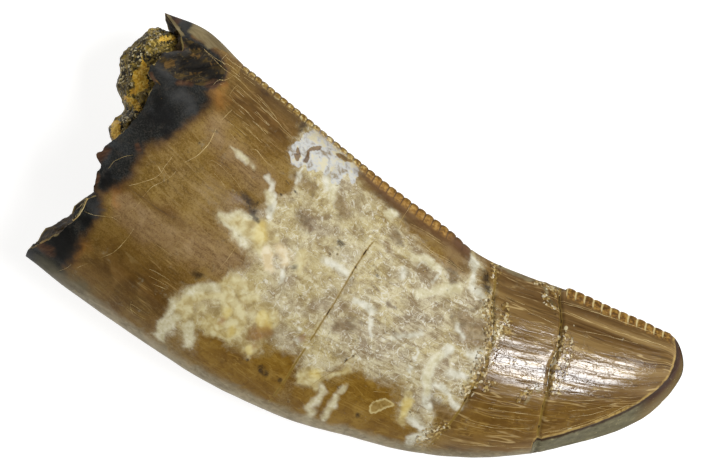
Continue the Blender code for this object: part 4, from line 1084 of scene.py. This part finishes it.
hairlines = {
    "width": 0.068, "rise": 0.012, "root": 0.03, "step": 0.07, "wander": 0.02,
    # share of the width, filling (0 pale, 1 amber, 2 dark), then x, y of each point
    "lines": [
        (1.1, 1, 3.86, 0.3, 3.3, -0.15, 2.6, -0.9, 1.9, -1.75, 1.25, -2.7, 0.62, -3.7, 0.1, -4.5,
         -0.4, -5.2, -0.85, -5.9), (1.3, 2, 0.72, -3.5, 0.58, -3.78), (1.3, 2, 0.45, -3.9, 0.32, -4.15),
        (0.9, 2, -0.44, 1.72, -0.54, 1.48), (1.2, 2, 9.05, 0.61, 9.25, 0.38, 9.42, 0.12, 9.38, -0.3,
         9.33, -0.67, 9.26, -1.1, 9.28, -1.44, 9.44, -2.2),
        (1.2, 2, 5.42, 0.95, 5.56, 0.45, 5.74, 0.05, 5.84, -0.35, 6.02, -0.8),
        (0.8, 2, 6.9, -0.9, 7.2, -0.6, 7.45, -0.5), (0.8, 2, 7.3, -1.25, 7.6, -1.2, 7.8, -1.35),
        (0.7, 2, 10.1, -0.35, 10.45, -0.2, 10.6, 0.1, 10.3, 0.25), (0.7, 2, 9.9, 0.45, 10.1, 0.2, 10, 0),
        (0.7, 2, 10.7, -0.2, 10.85, 0, 10.75, 0.2), (0.8, 2, -7.95, 2.12, -7.4, 2.02, -7.1, 1.92),
        (0.8, 2, -4.8, 2.36, -4.6, 2.24), (0.8, 2, -11, -0.38, -10.2, -0.55, -9.6, -0.72, -8.9, -0.85),
        (2.8, 0, -12.24, -1.22, -12.44, -1.55, -12.46, -1.95, -12.56, -2.3, -12.8, -2.72, -13.06, -3.05),
        (3.6, 0, -12.98, -2.95, -13.16, -3.3),
        (2, 1, -13.14, -3.28, -13.44, -3.7, -13.74, -4.04, -14, -4.32),
        (1, 0, -8.5, 5.8, -8.1, 5.62, -7.4, 5.32, -6.9, 5.12, -6.3, 4.8),
        (1.2, 0, -8.25, 5.45, -7.7, 5.25, -7.2, 5.05, -6.6, 4.8, -6, 4.55, -5.6, 4.35, -5, 4.12),
        (1, 0, -8.4, 4.93, -8, 4.72, -7.6, 4.58, -7, 4.3), (0.8, 0, -7.05, 4.68, -6.7, 4.5, -6.3, 4.33),
        (0.8, 0, -6.9, 4.2, -6.5, 4.05, -6.25, 3.95), (0.7, 0, -6.8, 3.7, -6.4, 3.5),
        (0.8, 0, -7.3, 5.38, -6.9, 5.18, -6.4, 4.88, -6.1, 4.66),
        (1.2, 0, -6.5, 3.12, -6.3, 3.05, -6, 2.85, -5.6, 2.7, -5.3, 2.55),
        (1.1, 0, -8.27, 5.42, -8.33, 5.2, -8.38, 4.98), (1.1, 0, -8.05, 4.35, -8.2, 4.05, -8.3, 3.8),
        (0.9, 0, -9.15, 6.55, -9.25, 6.2, -9.05, 6.05), (1, 0, -9.9, 6.25, -9.3, 6, -8.9, 5.85, -8.4, 5.74),
        (0.9, 0, -8.55, 5.75, -8.8, 5.45, -9.05, 5.35, -9.2, 5.05),
        (0.7, 0, -9.05, 5.22, -8.85, 5.2, -8.8, 5.3), (0.8, 0, -10.2, 6.4, -9.6, 6.2, -9, 6.1),
        (0.8, 0, -8.4, 6.35, -8.42, 6.1, -8.3, 5.9),
        (1.1, 0, -10.95, -0.28, -10.5, 0.05, -10.1, 0.4, -9.9, 0.7, -9.8, 1.2, -9.65, 1.6),
        (0.8, 0, -9.85, 0.75, -10.1, 0.95), (0.9, 0, -9.9, 0.95, -9.6, 0.75, -9.4, 0.7),
        (0.9, 0, -10.25, -0.55, -10, 0.05, -9.5, 0.6, -9.3, 1.05),
        (0.8, 0, -12.05, 0.1, -11.9, 0.5, -11.6, 0.8, -11.3, 1),
        (1.6, 0, -8.38, 3.35, -8.45, 2.6, -8.7, 2, -9.1, 1.5),
        (0.9, 0, -12.35, -2, -11.9, -1.98, -11.4, -1.85, -11.1, -1.8, -10.8, -1.88),
        (0.7, 0, -11.15, -1.8, -10.9, -1.63, -10.75, -1.75),
        (1, 0, -12.6, -4.85, -12.3, -4.6, -12.15, -4.35), (0.8, 0, -11.85, -4.4, -11.65, -4.2, -11.45, -4),
        (0.9, 0, -11, -3.6, -10.6, -3.2, -10.35, -2.7, -10.2, -2.3, -10.1, -1.9),
        (0.8, 0, -10.6, -1.4, -10.4, -1.1, -10.25, -0.7), (0.8, 0, -6.15, -2.4, -5.95, -1.8, -5.75, -1),
        (0.9, 0, -8.1, 2.02, -7.6, 1.92, -7.2, 1.72), (0.8, 0, -7.1, 1.75, -6.7, 1.5, -6.3, 1.22),
        (0.7, 0, -7.8, 1.52, -7.4, 1.35, -7.1, 1.15), (0.8, 0, -9, -2.2, -8.6, -2.3, -8.2, -2.42),
        (0.9, 0, -8.9, -3.3, -8.4, -3.35, -7.9, -3.45), (0.8, 0, -8.8, -3.6, -8.2, -3.65, -7.8, -3.7),
        (0.8, 0, -8.5, -3.85, -7.9, -3.87), (1.3, 0, -9.15, -4.9, -9.1, -5.15, -8.9, -5.4),
        (0.9, 0, -9.1, -5, -8.6, -5.1, -8.2, -5.2), (1.1, 0, -9.25, -5.2, -8.7, -5.35, -8.3, -5.4),
        (1.3, 0, 0.62, 3.33, 0.56, 3, 0.47, 2.6, 0.42, 2.35),
        (1, 0, 1.4, 1.98, 1.9, 1.85, 2.2, 1.75, 2.9, 1.68, 3.5, 1.5, 4, 1.42),
        (0.8, 0, 1.5, 1.85, 2, 1.72, 2.5, 1.62, 3.3, 1.55), (0.8, 0, 1.7, 2.35, 2.3, 2.22, 2.75, 2.15),
        (0.8, 0, -0.9, 2.62, -0.4, 2.45, 0, 2.3), (0.7, 0, 0.9, 2.55, 1.6, 2.45, 2.4, 2.3),
        (1.4, 0, 8.25, 1.68, 9.2, 1.78, 10.2, 1.85, 11.5, 1.88, 13.1, 1.9),
        (1.4, 0, 8.6, 1.42, 9.5, 1.38, 10.5, 1.37, 11.5, 1.42, 12.5, 1.5, 13.5, 1.55),
        (0.9, 0, 9.3, 0.8, 10, 0.95, 11, 1.1, 12, 1.2), (0.9, 0, 5.6, 0.95, 6.3, 0.93, 7.3, 0.8, 8.3, 0.72),
        (0.8, 0, 5.9, 1.07, 6.8, 1.03), (1, 0, 9.8, -3.75, 10.8, -3.15, 11.6, -2.45, 12.6, -1.4),
        (0.9, 0, 9.5, -3.9, 10.2, -3.45, 11, -2.85, 11.9, -2.1),
        (0.9, 0, 10.2, -2.6, 11.2, -2.1, 12.4, -1.25), (0.8, 0, 9.6, -2.3, 10.6, -1.95, 11.6, -1.5),
        (0.8, 0, 10.5, -2.75, 11.3, -2.3, 12, -1.75), (0.9, 0, 6.9, -3.7, 7.9, -3.5, 8.9, -3.25),
        (0.8, 0, 6.2, -4.6, 7.5, -4.4, 8.9, -3.9), (0.9, 0, 6.3, -5.6, 7.4, -5.3, 8.2, -5),
        (0.7, 0, 7.2, -4, 8.2, -3.75, 9, -3.5), (0.8, 0, 0.3, -4.6, -0.1, -4.7, -0.6, -4.95),
        (0.8, 0, 2, -4.8, 2.6, -4.6),
    ],
    "dashShare": 0.7,
    "dashes": [                            # short pale ones, x, y of each point
        (-8.2, 6.03, -7.66, 5.9), (-8.12, 5.88, -7.53, 5.72), (-7.78, 4.47, -7.49, 4.35),
        (-7.77, 4.62, -7.32, 4.48), (-7.12, 4.63, -6.78, 4.53, -6.45, 4.36), (-6.87, 4.48, -6.32, 4.3),
        (-7.07, 4.23, -6.7, 4.1, -6.32, 3.88), (-7.37, 3.9, -6.87, 3.73), (-7.95, 4.3, -7.49, 4.17),
        (-7.2, 3.82, -6.78, 3.67, -6.32, 3.48), (-7.62, 3.73, -7.03, 3.53), (-7.7, 3.57, -7.2, 3.4),
        (-7.78, 3.4, -7.41, 3.19), (-6.7, 4.9, -6.32, 4.75), (-7.45, 4.07, -7.12, 3.97),
        (-6.2, 3.73, -5.7, 3.55), (-6.62, 4.07, -6.28, 4), (-7.49, 5.32, -7.03, 5.11),
        (-5.87, 5.22, -5.53, 5.13), (-8.2, 5.22, -7.78, 5.07), (-8.22, 4.77, -7.82, 4.62),
        (-6.99, 4.9, -6.62, 4.8), (-6.7, 3.07, -6.45, 3.13, -6.2, 2.98), (-5.95, 2.83, -5.45, 2.68),
        (-6.45, 3.61, -5.95, 3.42), (-8.03, 3.83, -7.7, 3.73), (-8.7, 5.94, -8.28, 5.82),
        (-9.03, 6.15, -8.45, 6), (-9.12, 6.4, -8.62, 6.23), (-8.78, 6.32, -8.2, 6.15),
    ],
}


def hairlineStrips(surface):
    points, faces, fillings = [], [], []
    dashes = [(hairlines["dashShare"], 0, *numbers) for numbers in hairlines["dashes"]]
    for number, (share, filling, *numbers) in enumerate(hairlines["lines"] + dashes):
        path = pairs(numbers)
        length = sum(math.dist(a, b) for a, b in zip(path, path[1:]))
        count = max(int(length / hairlines["step"]), 4)
        course = through(path, np.linspace(0, len(path) - 1, count + 1))
        sway = np.stack([course[:, 0], course[:, 1], np.full(count + 1, number * 3.7)], axis=1)
        course = course + hairlines["wander"] * np.stack([cloud(sway, 0.3, 41), cloud(sway, 0.3, 42)], axis=1)
        thick = hairlines["width"] / 2 * share * (0.75 + 0.45 * cloud(sway, 0.25, 43))
        thick *= np.sin(np.linspace(0.12, math.pi - 0.12, count + 1)) ** 0.4
        runs = np.gradient(course, axis=0)
        first = len(points)
        for (x, y), (dx, dy), half in zip(course, runs, thick):
            hit, normal, _, _ = surface.ray_cast(Vector((x, y, 20)), Vector((0, 0, -1)))
            side = Vector(normal).cross(Vector((dx, dy, 0))).normalized()
            points += [hit - side * half - normal * hairlines["root"], hit + normal * hairlines["rise"],
                       hit + side * half - normal * hairlines["root"]]
        for ring in range(count):
            a = first + ring * 3
            faces += [(a + k, a + (k + 1) % 3, a + 3 + (k + 1) % 3, a + 3 + k) for k in range(3)]
        faces += [(first, first + 1, first + 2),
                  (first + count * 3 + 2, first + count * 3 + 1, first + count * 3)]
        fillings += [filling] * (count * 3 + 3)
    return [tuple(p) for p in points], faces, fillings


def hairlineFinish():
    s = Sheet(bpy.data.materials.new("pale_mineral"))
    tone = s.noise(s.place(), 0.5, 4, 0.6)
    filling = s.value("filling")
    colour = (
        s.ramp(tone, (0.35, 142, 116, 66), (0.5, 182, 158, 102), (0.62, 208, 190, 140))
        .coat(filling.step(0.4, 0.6), s.ramp(tone, (0.40, 94, 72, 26), (0.6, 150, 122, 62)))
        .coat(filling.step(1.4, 1.6), s.ramp(tone, (0.35, 34, 22, 8), (0.6, 82, 58, 26)))
    )
    return s.finish({"IOR": 1.5, "Specular IOR Level": 0.35}, Base_Color=colour, Roughness=0.4 + tone * 0.2)


crownTree = BVHTree.FromPolygons([tuple(p) for p in points], faces)
hairPoints, hairFaces, fillings = hairlineStrips(crownTree)
makePiece("hairline_fillings", hairPoints, hairFaces, {"filling": fillings}, hairlineFinish(),
          "tooth_crown")

# Broken wall and pulp cavity

cavity = {
    "rear": 0.085, "front": 0.80, "halfHeight": 1.85, "recess": 0.15, "depth": 3.2, "taper": 1.5,
    "wallRings": 16, "insideRings": 10, "beads": (0.15, 0.06), "swell": 0.16, "upSwell": 0.8,
}


def cavityPoint(t, part, above, depth):
    taper = np.sqrt(1 - depth ** cavity["taper"])
    middle, half = (cavity["rear"] + cavity["front"]) / 2, (cavity["front"] - cavity["rear"]) / 2 * taper
    point = between(t, middle + half * (2 * part - 1))
    halfway = 0.5 + 0 * t
    axis = (upperPoint(t, halfway)[..., 2] + lowerPoint(t, halfway)[..., 2]) / 2
    rise = cavity["halfHeight"] * taper * 2 * np.sqrt(part * (1 - part))
    point[..., 2] = axis + (rise if above else -rise)
    return point


print("broken wall")
outer = flat[:columnCount]
mouthParts = []
for shares, above in ((upperShares, True), (lowerShares[-2:0:-1], False)):
    mouthShare = cavity["rear"] + (cavity["front"] - cavity["rear"]) * shares
    mouth = placeOn(mouthShare, lambda y: read(breakAbove if above else breakBelow, y)) + cavity["recess"]
    rings = []
    for ring in range(cavity["insideRings"]):
        depth = ring / cavity["insideRings"]
        rings.append(cavityPoint(mouth + (cavity["depth"] - mouth) * depth, shares, above, depth))
    mouthParts.append(np.array(rings))
insideNet = np.concatenate(mouthParts, axis=1)
mouthRing = insideNet[0]
wallNet = np.array([outer + (mouthRing - outer) * share for share in np.linspace(0, 1, cavity["wallRings"])])
wallFlat = wallNet.reshape(-1, 3)
swell = np.sin(np.linspace(0, math.pi, cavity["wallRings"])).repeat(columnCount)
large, small = cavity["beads"]
beads = large * (1 - 2 * np.abs(cloud(wallFlat, 0.30, 12))) + small * cloud(wallFlat, 0.11, 13)
wallFlat[:, 0] += swell ** 0.5 * (cavity["swell"] * cloud(wallFlat, 0.6, 11) + beads)
wallFlat[:, 2] += swell * beads * cavity["upSwell"]
wallPoints = np.vstack([wallFlat, insideNet[1:].reshape(-1, 3)])
wallRings = cavity["wallRings"] + cavity["insideRings"] - 1
wallFaces = [face[::-1] for face in ringFaces(wallRings, columnCount)]
wallGap = np.linalg.norm(wallPoints - np.tile(outer, (wallRings, 1)), axis=1)


def wallFinish():
    s = Sheet(bpy.data.materials.new("broken_dentine"))
    place = s.place()
    lumps = s.noise(place, 0.35, 6, 0.65, 0.5)
    fine = s.noise(place, 0.09, 4, 0.6)
    colour = (
        s.ramp(lumps, (0.34, 18, 13, 6), (0.46, 36, 27, 11), (0.55, 60, 46, 20), (0.68, 98, 80, 44))
        .coat(fine.step(0.58, 0.75) * 0.3, (92, 78, 46))
    )
    rim = (s.value("wallGap") + (lumps - 0.5) * 0.12).step(0.13, 0.05)
    colour = colour.coat(rim * 0.7, (170, 150, 92))
    height = lumps * 0.05 + fine * 0.02
    return s.finish({"IOR": 1.5, "Specular IOR Level": 0.08}, Base_Color=colour,
                    Roughness=0.45 + fine * 0.3, Normal=s.bump(height))


makePiece("broken_base", wallPoints, wallFaces, {"wallGap": wallGap}, wallFinish(), "tooth_crown")

# Rock in the cavity

rock = {
    "outline": [                           # y, x of the rock's outline from above
        (6.60, -11.70), (6.30, -12.09), (6.06, -12.58), (5.66, -12.88), (5.26, -13.06), (5.05, -13.27),
        (4.68, -13.38), (4.26, -13.28), (4.04, -13.20), (3.70, -13.21), (3.41, -13.10), (3.12, -12.78),
        (2.75, -12.35), (2.45, -12.36), (2.05, -12.53), (1.68, -12.64), (1.43, -12.51), (1.24, -12.21),
        (0.60, -11.95), (-0.60, -12.10), (-3.80, -12.60),
    ],
    "rows": 200, "columns": 90, "roundness": 0.75, "overlap": 0.06, "fill": 0.36, "fillFrom": 5.0,
    "lumps": [(0.13, 1.0), (0.11, 0.45), (0.06, 0.20), (0.03, 0.09)],      # height, size
}


def mouthLine(parts, above):               # the cavity's mouth over the upper or the lower side
    share = cavity["rear"] + (cavity["front"] - cavity["rear"]) * parts
    t = placeOn(share, lambda y: read(breakAbove if above else breakBelow, y)) + cavity["recess"]
    return cavityPoint(t, parts, above, 0.0)


print("rock")
parts = (1 - np.cos(np.linspace(0.03, 0.985, rock["rows"]) * math.pi)) / 2
turns = np.linspace(-1, 1, rock["columns"]) * math.pi / 2
upperRim, lowerRim = mouthLine(parts, True), mouthLine(parts, False)
middle, halfRim = (upperRim + lowerRim) / 2, (upperRim - lowerRim) / 2
halfRim[:, 2] += rock["overlap"]
bulge = np.maximum(middle[:, 0] - read(rock["outline"], middle[:, 1]), 0.02)
rockNet = middle[:, None] + halfRim[:, None] * np.sin(turns)[None, :, None]
rockNet[..., 0] -= bulge[:, None] * np.cos(turns)[None] ** rock["roundness"]
rockPoints = rockNet.reshape(-1, 3)
lumps = sum(height * cloud(rockPoints, size, seed)
            for seed, (height, size) in enumerate(rock["lumps"], 21))
inner = np.cos(turns)[None].repeat(rock["rows"], 0).ravel()
rockPoints = rockPoints + netNormals(rockNet, 1).reshape(-1, 3) * (lumps * smooth(0, 0.35, inner))[:, None]
rockPoints[:, 1] += rock["fill"] * np.clip(rockPoints[:, 1] - rock["fillFrom"], 0, None)  # below the spike
count = rock["columns"]
rockFaces = [(r * count + c, r * count + c + 1, (r + 1) * count + c + 1, (r + 1) * count + c)
             for r in range(rock["rows"] - 1) for c in range(count - 1)]
gold = [                                   # golden patches, as the marks above
    (0, 0.15, -12.55, 5.15, -12.35, 4.95, -12.05, 4.72, -11.95, 4.3, -11.78, 4, -11.98, 3.72, -12.2, 3.5,
     -12.42, 3.42, -12.45, 3.6, -12.28, 3.75, -12.38, 3.95, -12.6, 4.15, -12.58, 4.45, -12.38, 4.62,
     -12.45, 4.9),
    (0.22, 0.2, -12.5, 1.95, -12.35, 1.6, -12.15, 1.45), (0.1, 0.3, -12, 6.15, -11.6, 6.35),
    (0.1, 0.3, -12.5, 3.2, -12.1, 3.15, -11.8, 2.9),
]
rockGold = cover(rockPoints[:, :2], gold) * smooth(3.0, 4.2, rockPoints[:, 2])


def rockFinish():
    s = Sheet(bpy.data.materials.new("dark_rock"))
    place = s.place()
    grains = s.node("TexVoronoi", {"feature": "F1"}, {"Vector": place, "Scale": 1 / 0.075}, out=1)
    tone = s.node("SeparateColor", {}, {0: grains}, out=0)
    second = s.node("SeparateColor", {}, {0: grains}, out=1)
    lumps = s.noise(place, 0.6, 5, 0.6, 0.6)
    fine = s.noise(place, 0.07, 3, 0.6)
    dark = s.ramp(tone, (0.0, 12, 10, 5), (0.35, 38, 32, 18), (0.60, 84, 72, 34), (0.84, 134, 114, 56),
                  (0.97, 206, 196, 160))
    olive = s.ramp(second, (0.0, 62, 52, 18), (0.5, 150, 126, 46), (0.9, 206, 178, 88))
    colour = (
        s.mix(lumps.step(0.47, 0.60) * 0.75, dark, olive)
        .coat(s.noise(place, 1.3, 3).step(0.52, 0.42) * 0.5, (34, 30, 18))
    )
    golden = s.value("gold") + (lumps - 0.5) * 1.0 + (fine - 0.5) * 1.2 + (tone - 0.5) * 0.3
    golden = golden.step(0.44, 0.54)
    colour = (
        colour
        .coat(golden, s.ramp(second, (0.1, 186, 140, 34), (0.5, 222, 174, 54), (0.9, 238, 206, 104)))
        .coat(fine.step(0.62, 0.74) * 0.35, (184, 172, 130))
    )
    height = lumps * 0.06 + fine * 0.02 + tone * 0.03
    return s.finish({"IOR": 1.5, "Specular IOR Level": 0.25}, Base_Color=colour,
                    Roughness=0.35 + second * 0.4, Normal=s.bump(height))


makePiece("cavity_rock", rockPoints, rockFaces, {"gold": np.clip(rockGold, 0, 1)}, rockFinish(),
          "cavity_matrix")

# Floor, lights and camera

stage = {
    "floorSize": 1.2, "floorColour": (0.30, 0.30, 0.30, 1.0), "floorGlow": (0.86, 0.86, 0.86, 1.0),
    # strength of the sky near the horizon and overhead, and the heights between which it fades
    "skyColour": (1.0, 0.94, 0.82, 1.0), "skyLow": 1.15, "skyHigh": 0.07, "skyFade": (0.25, 0.70),
    "camera": (-1.20, 1.165, 3.0), "turn": 21.0, "frameWidth": 30.783, "lens": 300.0,
    # direction from the tooth, distance, size, watts
    "lights": {"softbox": ((0.575, 0.20, 1.0), 0.30, (0.125, 0.12), 1.08)},
}
print("floor, lights and camera")
half = stage["floorSize"] / 2
floorMesh = bpy.data.meshes.new("floor")
floorMesh.from_pydata([(-half, -half, 0), (half, -half, 0), (half, half, 0), (-half, half, 0)], [],
                      [(0, 1, 2, 3)])
floor = bpy.data.objects.new("floor", floorMesh)
bpy.context.scene.collection.objects.link(floor)
floorSheet = Sheet(bpy.data.materials.new("pale_floor"))
floorMesh.materials.append(floorSheet.finish({
    "Base Color": stage["floorColour"], "Roughness": 0.9, "Emission Color": stage["floorGlow"],
    "Emission Strength": 1.0,
}))

sky = Sheet(bpy.data.worlds.new("studio"))
height = sky.node("SeparateXYZ", {}, {0: sky.node("TexCoord")}, out=2)
strength = height.step(*stage["skyFade"], stage["skyLow"], stage["skyHigh"])
glow = sky.node("Background", {}, {"Color": stage["skyColour"], "Strength": strength})
sky.node("OutputWorld", {}, {0: glow})
bpy.context.scene.world = sky.owner

for name, (direction, distance, size, power) in stage["lights"].items():
    data = bpy.data.lights.new(name, "AREA")
    data.shape, data.size, data.size_y, data.energy = "RECTANGLE", size[0], size[1], power
    lamp = bpy.data.objects.new(name, data)
    lamp.location = Vector(direction).normalized() * distance
    lamp.rotation_euler = Vector(direction).to_track_quat("Z", "Y").to_euler()
    lamp.visible_camera = False
    bpy.context.scene.collection.objects.link(lamp)

cameraData = bpy.data.cameras.new("camera")
cameraData.lens = stage["lens"]
camera = bpy.data.objects.new("camera", cameraData)
x, y, z = stage["camera"]
camera.location = (x * mm, y * mm,
                   z * mm + stage["lens"] / cameraData.sensor_width * stage["frameWidth"] * mm)
camera.rotation_euler = (0, 0, math.radians(stage["turn"]))
cameraData.clip_start, cameraData.clip_end = 0.01, 5
bpy.context.scene.collection.objects.link(camera)
bpy.context.scene.camera = camera
bpy.context.scene.view_settings.view_transform = "Standard"
